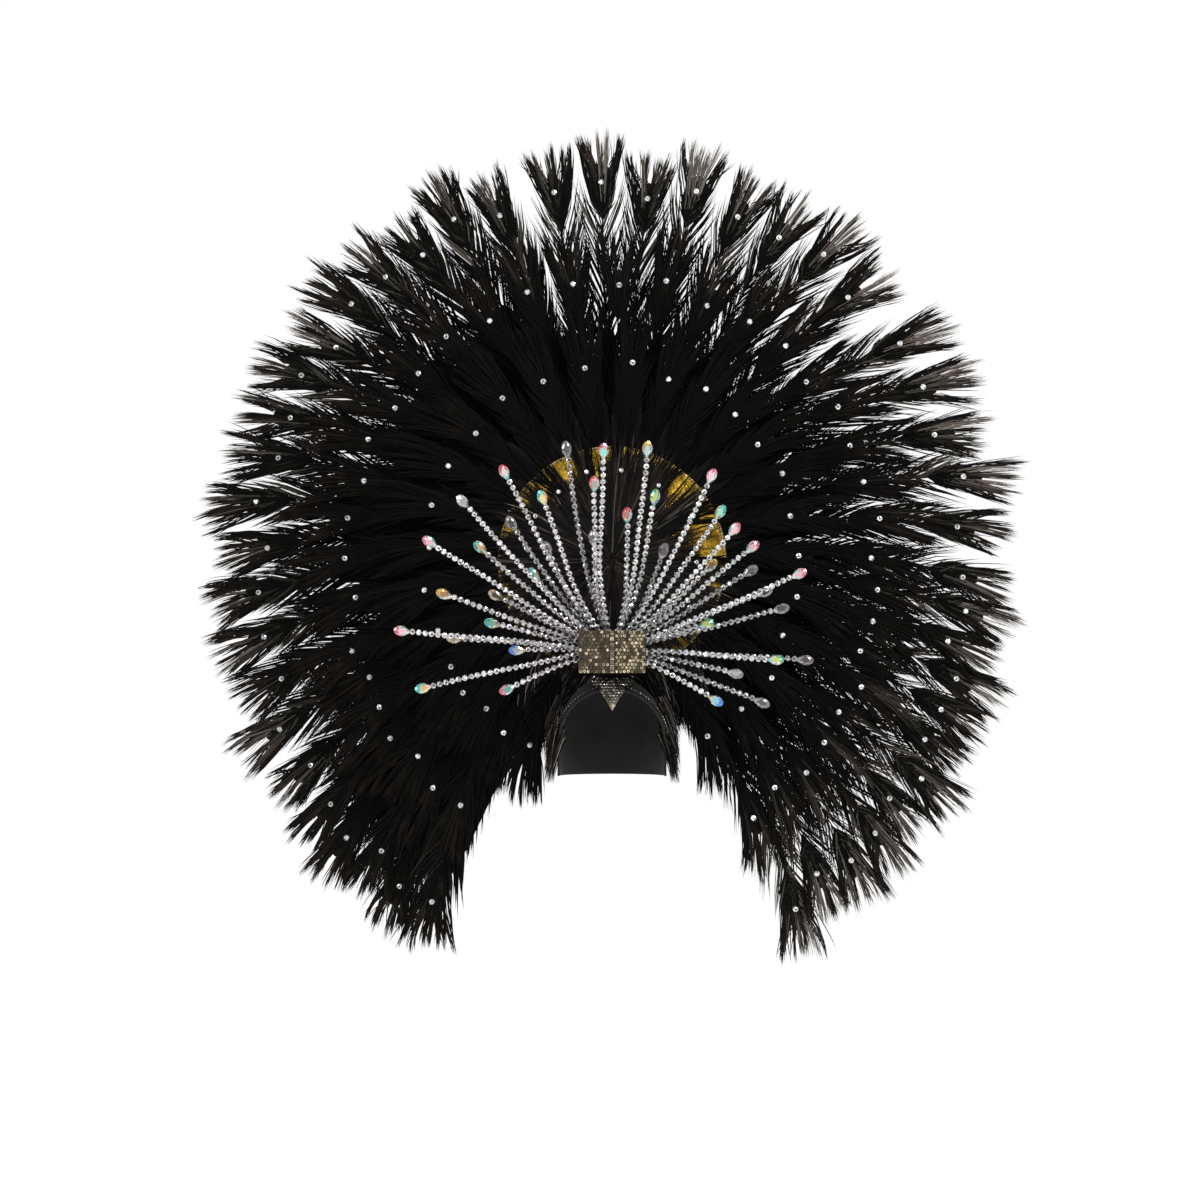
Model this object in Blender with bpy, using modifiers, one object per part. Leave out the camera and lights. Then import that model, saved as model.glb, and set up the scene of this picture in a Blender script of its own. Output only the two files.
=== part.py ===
"""Carnival feather headdress: a cap with a fan of dyed peacock eye feathers and a spray of stone covered stalks.

Metres, +Z up, the face side towards -Y. The origin is where the crown of the head meets the inside of the cap.
Angles in the fan and in the spray are in degrees, seen from the front, 0 towards +X and 90 straight up.
"""

import math

import bmesh
import bpy
import numpy as np
from mathutils import Vector

# Clearance that is left between two pieces
GAP = 0.0003

# Cap: a half ellipsoid over straight walls, cut away over the face
HEAD_HALF_WIDTH = 0.074
HEAD_HALF_DEPTH = 0.093
CROWN_HEIGHT = 0.085
CAP_WALL = 0.003
CAP_DROP = 0.137
CAP_SEGMENTS = 32
CAP_RINGS = 12
CAP_OUTER_WIDTH = HEAD_HALF_WIDTH + CAP_WALL
CAP_OUTER_DEPTH = HEAD_HALF_DEPTH + CAP_WALL
# How far a flat facet of the cap lies inside the true curve
FACET_SAG = CAP_OUTER_DEPTH * (1.0 - math.cos(math.pi / CAP_SEGMENTS))
# The cap's front edge seen from the side, from the brow to the ear
FACE_EDGE = [
    # down_share of CAP_DROP, forward_share of HEAD_HALF_DEPTH
    (0.12, 0.60),
    (0.35, 0.39),
    (0.64, 0.19),
    (1.00, 0.13),
]

# Row of stones along the front edge of the cap
TRIM_RADIUS = 0.0025
TRIM_INSET = 0.004
TRIM_DROP = 0.075
TRIM_STEPS = 8
TRIM_SPREAD = 1.6

# Crest over the brow: a bow with a point under it
CREST_WIDTH = 0.066
CREST_HEIGHT = 0.048
CREST_TOP = 0.004
CREST_THICKNESS = 0.004
CREST_INNER_OFFSET = CAP_WALL + 2.0 * (GAP + TRIM_RADIUS) + FACET_SAG
CREST_HALF_OUTLINE = [
    # across_share of CREST_WIDTH, down_share of CREST_HEIGHT
    (0.25, 0.02),
    (0.42, 0.08),
    (0.50, 0.19),
    (0.40, 0.28),
    (0.26, 0.34),
    (0.25, 0.46),
    (0.13, 0.70),
]

# Spray base: the block that holds the roots of the stalks, with a foot on the cap
HUB_SPACING = 0.042
HUB_RADIUS = 0.020
HUB_HEIGHT = 0.039
HUB_ARC_STEPS = 10
SPRAY_BACK = -0.002
FOOT_DEPTH = 0.022
# How far the rows of stalks stand ahead of the foot, clear of the brow crest
SPRAY_OVERHANG = 0.016
FOOT_WIDTH = 0.048
FOOT_DROP = CROWN_HEIGHT / 3.0
ROW_PITCH = 0.009
ROW_COUNT = 4
FIRST_ROW_SETBACK = 0.005
STALK_STACK = ROW_PITCH * (ROW_COUNT - 1) + 2.0 * FIRST_ROW_SETBACK
SPRAY_FRONT = SPRAY_BACK - FOOT_DEPTH - SPRAY_OVERHANG - STALK_STACK

# Stone panels in front of the spray base, and the ribbed strip between them
PANEL_WIDTH = 0.043
PANEL_HEIGHT = 0.059
PANEL_THICKNESS = 0.003
PANEL_TURN = math.radians(14.0)
PANEL_AHEAD = 0.018
PANEL_MID_HEIGHT = 0.0375
RIDGE_WIDTH = 0.0064
RIDGE_DEPTH = 0.006
NOSE_WIDTH = 0.032
NOSE_HEIGHT = 0.036
NOSE_TIP = SPRAY_FRONT - PANEL_AHEAD

# Stalks: a wire sheathed in cup stones, with a pear cut stone at the end
STALK_RADIUS = 0.004
STALK_ROOT_SHARE = 0.5
STALK_NECK_SHARE = 0.55
STALK_SHEATH_START = 0.022
STALK_LIFT_SHARE = 0.025
ROW_LEANS = [math.radians(16.0), math.radians(11.0), math.radians(6.0), math.radians(1.0)]
PEAR_LENGTH = 0.025
# How much of the stone stands past the end of its wire
PEAR_OVERLAP_SHARE = 0.9
PEAR_WIDTH = 0.014
PEAR_CROWN = 0.003
PEAR_BACK = 0.004
PEAR_TABLE_SHARE = 0.55
PEAR_BACK_SHARE = 0.45
PEAR_SIDES = 8
PEAR_TAPER = 0.32
# The longest stalk, from its hub's middle to its tip
STALK_REACH = 0.290
STALKS_LEFT = [
    # angle in degrees, length_share of STALK_REACH, row from the front
    (88.1, 0.9862, 0),
    (90.9, 0.8345, 1),
    (91.8, 0.5793, 2),
    (98.6, 1.0172, 3),
    (109.6, 0.8103, 0),
    (116.2, 0.5828, 2),
    (117.4, 0.9966, 1),
    (124.0, 0.7759, 3),
    (129.7, 0.5138, 2),
    (131.9, 0.9897, 0),
    (138.5, 0.7828, 1),
    (146.9, 0.9862, 0),
    (151.5, 0.5931, 3),
    (159.7, 0.8172, 1),
    (165.4, 0.5586, 2),
    (174.1, 0.9690, 0),
    (175.1, 0.7276, 3),
    (179.7, 0.4241, 2),
    (192.0, 0.8828, 0),
    (203.3, 0.5069, 1),
]
STALKS_RIGHT = [
    # angle in degrees, length_share of STALK_REACH, row from the front
    (90.1, 0.6862, 1),
    (84.4, 1.0000, 0),
    (79.8, 0.7862, 2),
    (70.0, 0.5483, 3),
    (64.4, 0.9586, 0),
    (56.2, 0.8345, 1),
    (48.7, 0.8069, 0),
    (45.5, 0.6103, 2),
    (39.7, 0.8138, 1),
    (32.8, 0.7448, 3),
    (24.2, 0.9310, 0),
    (23.1, 0.7552, 2),
    (18.7, 0.4379, 1),
    (15.1, 0.8069, 3),
    (-3.1, 0.8966, 3),
    (-3.4, 0.7448, 0),
    (-12.0, 0.5690, 2),
    (-21.2, 0.7345, 3),
    (-29.4, 0.5241, 1),
]

# Boards behind the spray, and the bar that joins them to the back of the cap
FAN_HEIGHT = 0.165
GOLD_RADIUS = 0.161
GOLD_THICKNESS = 0.002
BOARD_RADIUS = 0.150
BOARD_THICKNESS = 0.004
BOARD_SIDES = 48
BRACKET_WIDTH = 0.036
BRACKET_THICKNESS = 0.004
BRACKET_RISE = 0.100
BRACKET_DROP = 0.130

# Fan: quill bands between the boards, and the feathers that spring from them
FAN_REACH = 0.585
BAND_INNER = 0.030
BAND_OUTER = 0.135
BAND_THICKNESS = 0.014
BAND_OVERHANG = 3.0
BAND_STEP = 12.0
QUILL_ROOT = 0.116
LAYER_SHIFT = 0.0035
# Feathers lean forward or back only past the rim of the gold board
LEAN_START = GOLD_RADIUS + 0.004
PATH_STEPS = 24
ROOT_SEARCHES = 4
WOBBLE_TURN = 2.4
REACH_WOBBLE = 0.025
FEATHER_STATIONS = [
    # length_share, width_share, thickness_share
    (0.00, 0.07, 1.00),
    (0.15, 0.22, 1.00),
    (0.52, 0.56, 0.85),
    (0.90, 1.00, 0.60),
    (1.00, 0.78, 0.45),
]
DROOP = [
    # degrees away from straight up, degrees that the tip turns down, reach_share
    (0.0, 0.0, 1.03),
    (30.0, 16.0, 1.01),
    (60.0, 30.0, 0.98),
    (100.0, 24.0, 0.97),
    (125.0, 14.0, 1.02),
    (152.0, 28.0, 1.07),
]
QUILL_THICKNESS = 0.004

# Crest feathers: a root disc in front of the gold board
CREST_ROOT_RADIUS = 0.030
CREST_ROOT_THICKNESS = 0.008
CREST_ROOT_SIDES = 16
CREST_QUILL_ROOT = CREST_ROOT_RADIUS * 0.8

# Tufts of short feathers beside the cap
TUFT_FLARE = 0.017
TUFT_LOCKS = 5
TUFT_PITCH = 0.009
TUFT_LOCK_WIDTH = 0.016
TUFT_LOCK_THICKNESS = 0.003
TUFT_STAGGER = 0.0012
TUFT_PAD_WIDTH = 0.024
TUFT_PAD_HEIGHT = 0.018
TUFT_PAD_BELOW = 0.005
TUFT_WOBBLE = 0.03
TUFT_STATIONS = [
    # out_share of TUFT_FLARE, down_share of CAP_DROP, width_share
    (-0.70, 0.20, 0.35),
    (0.24, 0.42, 0.90),
    (0.60, 0.70, 1.00),
    (1.00, 1.06, 0.40),
]


class Tier:
    """One ring of feathers: its sizes as shares of the fan's reach, its lean and the clumps that it is set in."""

    def __init__(self, name, eye_share, reach_share, width_share, lean, clumps):
        self.name = name
        self.eye_radius = FAN_REACH * eye_share
        self.reach = FAN_REACH * reach_share
        self.width = FAN_REACH * width_share
        self.lean = math.radians(lean)
        self.clumps = clumps


TIERS = [
    Tier(
        "outer_fan", 0.8803, 1.0, 0.1299, 3.0,
        [
            # sector, first angle, last angle, feathers
            ("left", 242.2, 220.9, 5),
            ("left", 214.2, 170.6, 7),
            ("top", 162.9, 108.0, 9),
            ("top", 98.9, 48.1, 8),
            ("right", 37.0, 5.6, 5),
            ("right", -2.7, -62.2, 12),
        ],
    ),
    Tier(
        "middle_fan", 0.6581, 0.8, 0.1197, 0.0,
        [
            ("left", 238.3, 199.2, 7),
            ("left", 188.2, 144.9, 6),
            ("top", 136.0, 60.0, 9),
            ("right", 51.0, 0.5, 7),
            ("right", -6.3, -61.2, 9),
        ],
    ),
    Tier(
        "inner_fan", 0.4598, 0.5983, 0.106, -5.0,
        [
            ("left", 246.0, 213.5, 5),
            ("left", 202.0, 98.0, 9),
            ("right", 84.0, 27.0, 6),
            ("right", 14.0, -61.5, 7),
        ],
    ),
]
CREST_TIER = Tier(
    "crest_feathers", 0.2137, 0.335, 0.0752, -8.0,
    [("all", 172.0, 84.0, 5), ("all", 58.0, -31.0, 4)],
)

# Places in the stack, worked out from the back of the cap
STACK_BACK = CAP_OUTER_DEPTH
BAND_PITCH = BAND_THICKNESS + GAP
BANDS_BACK = STACK_BACK - BOARD_THICKNESS - GAP
GOLD_BACK = BANDS_BACK - len(TIERS) * BAND_PITCH
CREST_ROOT_BACK = GOLD_BACK - GOLD_THICKNESS - GAP


def clear_scene():
    """Remove every object that the file opened with."""
    for item in list(bpy.data.objects):
        bpy.data.objects.remove(item, do_unlink=True)


def new_collection(name):
    """A collection linked to the scene."""
    collection = bpy.data.collections.new(name)
    bpy.context.scene.collection.children.link(collection)
    return collection


def new_material(name, colour, roughness, metallic=0.0):
    """A Principled material."""
    material = bpy.data.materials.new(name)
    material.use_nodes = True
    shader = material.node_tree.nodes["Principled BSDF"]
    shader.inputs["Base Color"].default_value = (*colour, 1.0)
    shader.inputs["Roughness"].default_value = roughness
    shader.inputs["Metallic"].default_value = metallic
    material.diffuse_color = (*colour, 1.0)
    return material


def add_object(name, mesh, collection, material=None):
    """An object for a mesh, with its material."""
    item = bpy.data.objects.new(name, mesh)
    collection.objects.link(item)
    if material:
        mesh.materials.clear()
        mesh.materials.append(material)
    return item


def add_bmesh(name, shape, collection, material=None):
    """An object for a bmesh, which is freed."""
    mesh = bpy.data.meshes.new(name)
    shape.to_mesh(mesh)
    shape.free()
    return add_object(name, mesh, collection, material)


def evaluated_mesh(item):
    """The mesh of an object with its modifiers applied, in world space."""
    bpy.context.view_layer.update()
    graph = bpy.context.evaluated_depsgraph_get()
    mesh = bpy.data.meshes.new_from_object(item.evaluated_get(graph))
    mesh.transform(item.matrix_world)
    return mesh


def settle(item, name, collection, material):
    """Replace an object by a plain mesh object of what it evaluates to, with its doubles merged."""
    mesh = evaluated_mesh(item)
    bpy.data.objects.remove(item, do_unlink=True)
    shape = bmesh.new()
    shape.from_mesh(mesh)
    bmesh.ops.remove_doubles(shape, verts=shape.verts, dist=1e-6)
    bmesh.ops.recalc_face_normals(shape, faces=shape.faces)
    bpy.data.meshes.remove(mesh)
    return add_bmesh(name, shape, collection, material)


def fuse(name, pieces, collection, material):
    """One closed body from overlapping pieces."""
    operands = bpy.data.collections.new(name + "_operands")
    bpy.context.scene.collection.children.link(operands)
    base = pieces[0]
    for piece in pieces[1:]:
        collection_of(piece).objects.unlink(piece)
        operands.objects.link(piece)
    union = base.modifiers.new("fuse", "BOOLEAN")
    union.operation = "UNION"
    union.operand_type = "COLLECTION"
    union.collection = operands
    fused = settle(base, name, collection, material)
    for piece in pieces[1:]:
        bpy.data.objects.remove(piece, do_unlink=True)
    bpy.data.collections.remove(operands)
    return fused


def collection_of(item):
    """The collection that an object is in."""
    return item.users_collection[0]


def cut(item, tool, operation="DIFFERENCE"):
    """A live Boolean by a cutter that the build leaves out."""
    tool.hide_render = True
    tool.display_type = "WIRE"
    boolean = item.modifiers.new(tool.name, "BOOLEAN")
    boolean.operation = operation
    boolean.object = tool


def loft(name, sections, collection, material=None):
    """A closed body through rings of corners, all with the same number of corners."""
    shape = bmesh.new()
    rings = [[shape.verts.new(corner) for corner in section] for section in sections]
    count = len(rings[0])
    for ring, following in zip(rings, rings[1:]):
        for side in range(count):
            after = (side + 1) % count
            shape.faces.new((ring[side], ring[after], following[after], following[side]))
    shape.faces.new(rings[0])
    shape.faces.new(rings[-1])
    bmesh.ops.recalc_face_normals(shape, faces=shape.faces)
    return add_bmesh(name, shape, collection, material)


def box(name, low, high, collection, material=None):
    """A box between two corners."""
    shape = bmesh.new()
    bmesh.ops.create_cube(shape, size=1.0)
    size = [b - a for a, b in zip(low, high)]
    middle = [(a + b) / 2.0 for a, b in zip(low, high)]
    bmesh.ops.scale(shape, vec=size, verts=shape.verts)
    bmesh.ops.translate(shape, vec=middle, verts=shape.verts)
    return add_bmesh(name, shape, collection, material)


def outline_prism(name, points, half_thickness, rotation, collection):
    """A flat outline extruded both ways, as a mesh in world space."""
    curve = bpy.data.curves.new(name, "CURVE")
    curve.dimensions = "2D"
    curve.fill_mode = "BOTH"
    curve.extrude = half_thickness
    spline = curve.splines.new("POLY")
    spline.points.add(len(points) - 1)
    for point, (across, up) in zip(spline.points, points):
        point.co = (across, up, 0.0, 1.0)
    spline.use_cyclic_u = True
    item = bpy.data.objects.new(name, curve)
    item.rotation_euler = rotation
    collection.objects.link(item)
    return settle(item, name, collection, None)


def tube(name, points, radius, shares, collection, material=None):
    """A round tube along points, with a share of the radius at each point, as a mesh."""
    curve = bpy.data.curves.new(name, "CURVE")
    curve.dimensions = "3D"
    curve.bevel_depth = radius
    curve.bevel_resolution = 2
    curve.use_fill_caps = True
    spline = curve.splines.new("POLY")
    spline.points.add(len(points) - 1)
    for point, place, share in zip(spline.points, points, shares):
        point.co = (*place, 1.0)
        point.radius = share
    item = bpy.data.objects.new(name, curve)
    collection.objects.link(item)
    return settle(item, name, collection, material)


def polar(radius, angle):
    """A place in the plane of the fan, as across and up from the fan's middle."""
    return np.array([math.cos(math.radians(angle)), math.sin(math.radians(angle))]) * radius


# Cap


def dome(name, offset, drop, collection, material=None):
    """The head's half ellipsoid grown by an offset, open below, with straight walls down to a drop."""
    shape = bmesh.new()
    bmesh.ops.create_uvsphere(shape, u_segments=CAP_SEGMENTS, v_segments=CAP_RINGS, radius=1.0)
    lower = [vert for vert in shape.verts if vert.co.z < -1e-4]
    bmesh.ops.delete(shape, geom=lower, context="VERTS")
    size = (HEAD_HALF_WIDTH + offset, HEAD_HALF_DEPTH + offset, CROWN_HEIGHT + offset)
    bmesh.ops.scale(shape, vec=size, verts=shape.verts)
    rim = [edge for edge in shape.edges if edge.is_boundary]
    if drop > CROWN_HEIGHT:
        walls = bmesh.ops.extrude_edge_only(shape, edges=rim)
        moved = [vert for vert in walls["geom"] if isinstance(vert, bmesh.types.BMVert)]
        bmesh.ops.translate(shape, vec=(0.0, 0.0, CROWN_HEIGHT - drop), verts=moved)
    bmesh.ops.translate(shape, vec=(0.0, 0.0, -CROWN_HEIGHT), verts=shape.verts)
    bmesh.ops.recalc_face_normals(shape, faces=shape.faces)
    return add_bmesh(name, shape, collection, material)


def head_solid(name, offset, collection):
    """The head's whole ellipsoid grown by an offset, for cutting a seat on the cap."""
    shape = bmesh.new()
    bmesh.ops.create_uvsphere(shape, u_segments=CAP_SEGMENTS, v_segments=2 * CAP_RINGS, radius=1.0)
    size = (HEAD_HALF_WIDTH + offset, HEAD_HALF_DEPTH + offset, CROWN_HEIGHT + offset)
    bmesh.ops.scale(shape, vec=size, verts=shape.verts)
    bmesh.ops.translate(shape, vec=(0.0, 0.0, -CROWN_HEIGHT), verts=shape.verts)
    return add_bmesh(name, shape, collection)


def thicken(item, thickness):
    """Give an open surface a wall on its outer side."""
    wall = item.modifiers.new("wall", "SOLIDIFY")
    wall.thickness = thickness
    wall.offset = 1.0


def edge_forward(height):
    """How far forward the cap's front edge is at a height, as a y value."""
    heights = [-down * CAP_DROP for down, _ in FACE_EDGE]
    places = [-forward * HEAD_HALF_DEPTH for _, forward in FACE_EDGE]
    return float(np.interp(-height, [-value for value in heights], places))


def cap_shell(parts, cutters, material):
    """The fabric covered cap, open over the face."""
    cap = dome("cap_shell", 0.0, CAP_DROP, parts, material)
    thicken(cap, CAP_WALL)
    far = 3.0 * HEAD_HALF_DEPTH
    edge = [(-forward * HEAD_HALF_DEPTH, -down * CAP_DROP) for down, forward in FACE_EDGE]
    low = -2.0 * CAP_DROP
    points = [(-far, edge[0][1]), *edge, (edge[-1][0], low), (-far, low)]
    turn = (math.pi / 2.0, 0.0, math.pi / 2.0)
    face = outline_prism("face_cut", points, 2.0 * HEAD_HALF_WIDTH, turn, cutters)
    cut(cap, face)


def cap_edge_trim(parts, material):
    """The row of stones along the front edge, as one tube."""
    offset = CAP_WALL + GAP + TRIM_RADIUS
    wide = HEAD_HALF_WIDTH + offset
    deep = HEAD_HALF_DEPTH + offset
    tall = CROWN_HEIGHT + offset
    top_forward = edge_forward(0.0) + TRIM_INSET
    top = tall * math.sqrt(1.0 - (top_forward / deep) ** 2) - CROWN_HEIGHT
    points = []
    for step in range(-TRIM_STEPS, TRIM_STEPS + 1):
        share = abs(step) / TRIM_STEPS
        height = top - (top + TRIM_DROP) * share**TRIM_SPREAD
        forward = edge_forward(height) + TRIM_INSET
        left = 1.0 - (forward / deep) ** 2 - ((height + CROWN_HEIGHT) / tall) ** 2
        across = math.copysign(wide * math.sqrt(max(left, 0.0)), step)
        points.append((across, forward, height))
    tube("cap_edge_trim", points, TRIM_RADIUS, [1.0] * len(points), parts, material)


def brow_crest(parts, cutters, material):
    """The stone crest over the brow, a bow with a point, bent over the cap and the forehead."""
    crest = dome("brow_crest", CREST_INNER_OFFSET, CROWN_HEIGHT, parts, material)
    thicken(crest, CREST_THICKNESS)
    half = [(CREST_WIDTH * a, CREST_TOP - CREST_HEIGHT * d) for a, d in CREST_HALF_OUTLINE]
    top = (0.0, CREST_TOP)
    point = (0.0, CREST_TOP - CREST_HEIGHT)
    points = [top, *half, point, *[(-across, up) for across, up in reversed(half)]]
    reach = HEAD_HALF_DEPTH + CREST_INNER_OFFSET + 2.0 * CREST_THICKNESS
    turn = (math.pi / 2.0, 0.0, 0.0)
    outline = outline_prism("crest_outline", points, reach / 2.0, turn, cutters)
    outline.location.y = -reach / 2.0
    cut(crest, outline, "INTERSECT")


# Spray of stalks


def spray_base(parts, cutters, material):
    """The block that the stalks are rooted in: a long body, a nose for the panels and a foot on the cap."""
    arc = [90.0 + 180.0 * step / HUB_ARC_STEPS for step in range(HUB_ARC_STEPS + 1)]
    left = [polar(HUB_RADIUS, angle) + (-HUB_SPACING / 2.0, 0.0) for angle in arc]
    right = [polar(HUB_RADIUS, angle - 180.0) + (HUB_SPACING / 2.0, 0.0) for angle in arc]
    depth = SPRAY_BACK - SPRAY_FRONT
    turn = (math.pi / 2.0, 0.0, 0.0)
    body = outline_prism("spray_base", left + right, depth / 2.0, turn, parts)
    body.location = (0.0, SPRAY_BACK - depth / 2.0, HUB_HEIGHT)
    half = NOSE_WIDTH / 2.0
    back = SPRAY_FRONT + 2.0 * GAP
    side = NOSE_TIP + half * math.tan(PANEL_TURN)
    wedge = [(-half, back), (-half, side), (0.0, NOSE_TIP), (half, side), (half, back)]
    nose = outline_prism("nose", wedge, NOSE_HEIGHT / 2.0, (0.0, 0.0, 0.0), parts)
    nose.location.z = HUB_HEIGHT
    foot = box(
        "foot",
        (-FOOT_WIDTH / 2.0, SPRAY_BACK - FOOT_DEPTH, -FOOT_DROP),
        (FOOT_WIDTH / 2.0, SPRAY_BACK - GAP, HUB_HEIGHT),
        parts,
    )
    base = fuse("spray_base", [body, nose, foot], parts, material)
    seat = head_solid("base_seat", CAP_WALL + GAP, cutters)
    cut(base, seat)


def pave_panels(parts, material):
    """The two stone panels that meet in a shallow V over the nose."""
    low = PANEL_MID_HEIGHT - PANEL_HEIGHT / 2.0
    inner = RIDGE_WIDTH / 2.0 + GAP
    slope = math.tan(PANEL_TURN)
    back = NOSE_TIP - GAP / math.cos(PANEL_TURN)
    for name, side in (("pave_panel_left", -1.0), ("pave_panel_right", 1.0)):
        sections = []
        for height in (low, low + PANEL_HEIGHT):
            near, far = inner, inner + PANEL_WIDTH
            corners = [
                (near, back + near * slope),
                (far, back + far * slope),
                (far, back + far * slope - PANEL_THICKNESS),
                (near, back + near * slope - PANEL_THICKNESS),
            ]
            sections.append([(side * across, forward, height) for across, forward in corners])
        loft(name, sections, parts, material)


def centre_ridge(parts, material):
    """The narrow strip between the panels."""
    low = PANEL_MID_HEIGHT - PANEL_HEIGHT / 2.0
    half = RIDGE_WIDTH / 2.0
    back = NOSE_TIP - GAP
    front = back - RIDGE_DEPTH
    outline = [(-half, back), (-half, back - RIDGE_DEPTH / 2.0), (-half / 2.0, front)]
    outline += [(-across, forward) for across, forward in reversed(outline)]
    sections = [
        [(across, forward, height) for across, forward in outline] for height in (low, low + PANEL_HEIGHT)
    ]
    loft("centre_ridge", sections, parts, material)


def pear_stone(name, place, along, collection):
    """A pear cut stone with a table to the front, its narrow end at a place on the stalk."""
    front = Vector((0.0, -1.0, 0.0))
    normal = (front - along * front.dot(along)).normalized()
    side = along.cross(normal)
    middle = place + along * (PEAR_LENGTH / 2.0)
    rings = [(PEAR_TABLE_SHARE, PEAR_CROWN), (1.0, 0.0), (PEAR_BACK_SHARE, -PEAR_BACK)]
    sections = []
    for share, forward in rings:
        ring = []
        for step in range(PEAR_SIDES):
            turn = 2.0 * math.pi * (step + 0.5) / PEAR_SIDES
            wide = 1.0 - PEAR_TAPER + PEAR_TAPER * math.cos(turn)
            length = along * (PEAR_LENGTH / 2.0 * math.cos(turn) * share)
            width = side * (PEAR_WIDTH / 2.0 * math.sin(turn) * wide * share)
            ring.append(middle + length + width + normal * forward)
        sections.append(ring)
    return loft(name, sections, collection)


def stalk(name, hub_across, angle, length, row, parts, material):
    """One stalk, from the hub's side out to its pear stone."""
    start_forward = SPRAY_FRONT + FIRST_ROW_SETBACK + row * ROW_PITCH
    hub = Vector((hub_across, start_forward, HUB_HEIGHT))
    flat = polar(1.0, angle)
    lean = ROW_LEANS[row]
    tip = hub + Vector((flat[0] * length, -length * math.tan(lean), flat[1] * length))
    slant = math.sin(lean) + math.pi * STALK_LIFT_SHARE
    seat = HUB_RADIUS + GAP + STALK_RADIUS * STALK_ROOT_SHARE * slant
    root = hub + Vector((flat[0], 0.0, flat[1])) * seat
    along = (tip - root).normalized()
    neck = tip - along * PEAR_LENGTH * PEAR_OVERLAP_SHARE
    run = (neck - root).length
    lift = Vector((0.0, 0.0, 1.0)) * STALK_LIFT_SHARE * length * abs(flat[0])
    shares = [0.0, STALK_SHEATH_START / run, 1.0 - STALK_RADIUS / run, 1.0]
    points = [root.lerp(neck, share) + lift * math.sin(math.pi * share) for share in shares]
    widths = [STALK_ROOT_SHARE, 1.0, 1.0, STALK_NECK_SHARE]
    rod = tube(name + "_rod", points, STALK_RADIUS, widths, parts)
    stone = pear_stone(name + "_stone", tip - along * PEAR_LENGTH, along, parts)
    fuse(name, [rod, stone], parts, material)


def spray(parts, material):
    """All the stalks of both hubs."""
    groups = (("stalk_left", -1.0, STALKS_LEFT), ("stalk_right", 1.0, STALKS_RIGHT))
    for prefix, side, rows in groups:
        for number, (angle, length_share, row) in enumerate(rows, 1):
            name = f"{prefix}_{number:02d}"
            length = STALK_REACH * length_share
            stalk(name, side * HUB_SPACING / 2.0, angle, length, row, parts, material)


# Boards


def disc(name, radius, back, thickness, sides, parts, material):
    """A flat round board facing the front."""
    shape = bmesh.new()
    bmesh.ops.create_cone(
        shape, cap_ends=True, segments=sides, radius1=radius, radius2=radius, depth=thickness
    )
    board = add_bmesh(name, shape, parts, material)
    board.location = (0.0, back - thickness / 2.0, FAN_HEIGHT)
    board.rotation_euler = (math.pi / 2.0, 0.0, 0.0)
    return board


def board_bracket(parts, material):
    """The hidden bar behind the boards, which stands on the back of the cap."""
    front = STACK_BACK + GAP
    box(
        "board_bracket",
        (-BRACKET_WIDTH / 2.0, front, -BRACKET_DROP),
        (BRACKET_WIDTH / 2.0, front + BRACKET_THICKNESS, BRACKET_RISE),
        parts,
        material,
    )


# Feathers


def droop_at(angle):
    """How far a feather's tip turns down, signed so that it turns towards the ground."""
    away = abs(angle - 90.0)
    turn = float(np.interp(away, [row[0] for row in DROOP], [row[1] for row in DROOP]))
    return math.copysign(turn, angle - 90.0)


def reach_at(angle, tier, number):
    """How far one feather reaches from the fan's middle."""
    away = abs(angle - 90.0)
    share = float(np.interp(away, [row[0] for row in DROOP], [row[2] for row in DROOP]))
    return tier.reach * share * (1.0 + REACH_WOBBLE * wobble(number))


def trace(root_angle, turn, root_radius, length):
    """The line of one quill in the fan's plane: places and headings at even steps."""
    shares = np.linspace(0.0, 1.0, PATH_STEPS + 1)
    headings = root_angle + turn * shares**2
    steps = np.radians((headings[1:] + headings[:-1]) / 2.0)
    moves = np.stack([np.cos(steps), np.sin(steps)], axis=1) * length / PATH_STEPS
    places = np.vstack([[0.0, 0.0], np.cumsum(moves, axis=0)]) + polar(root_radius, root_angle)
    return shares, places, headings


def quill_line(eye_angle, root_radius, tier, reach):
    """The quill whose eye lies at an angle: its root angle, and its traced line."""
    length = reach - root_radius
    eye_share = (tier.eye_radius - root_radius) / (tier.reach - root_radius)
    turn = droop_at(eye_angle)
    root_angle = eye_angle
    for _ in range(ROOT_SEARCHES):
        shares, places, headings = trace(root_angle, turn, root_radius, length)
        across = np.interp(eye_share, shares, places[:, 0])
        up = np.interp(eye_share, shares, places[:, 1])
        found = math.degrees(math.atan2(up, across))
        root_angle -= (found - eye_angle + 180.0) % 360.0 - 180.0
    return root_angle, trace(root_angle, turn, root_radius, length)


def feather(name, tier, line, layer_place, parts):
    """One feather as a thin blade along its quill, widest at the brush of its tip."""
    shares, places, headings = line
    sections = []
    for length_share, width_share, thickness_share in FEATHER_STATIONS:
        across = float(np.interp(length_share, shares, places[:, 0]))
        up = float(np.interp(length_share, shares, places[:, 1]))
        heading = math.radians(float(np.interp(length_share, shares, headings)))
        run = max(math.hypot(across, up) - LEAN_START, 0.0)
        middle = Vector((across, layer_place + run * math.tan(tier.lean), FAN_HEIGHT + up))
        half = Vector((-math.sin(heading), 0.0, math.cos(heading))) * tier.width * width_share / 2.0
        thick = Vector((0.0, QUILL_THICKNESS * thickness_share / 2.0, 0.0))
        sections.append([middle + thick + half, middle - thick, middle + thick - half])
    return loft(name, sections, parts)


def clump_angles(clump):
    """The eye angles of one clump, evenly spaced."""
    _, first, last, count = clump
    return [first + (last - first) * step / (count - 1) for step in range(count)]


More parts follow.
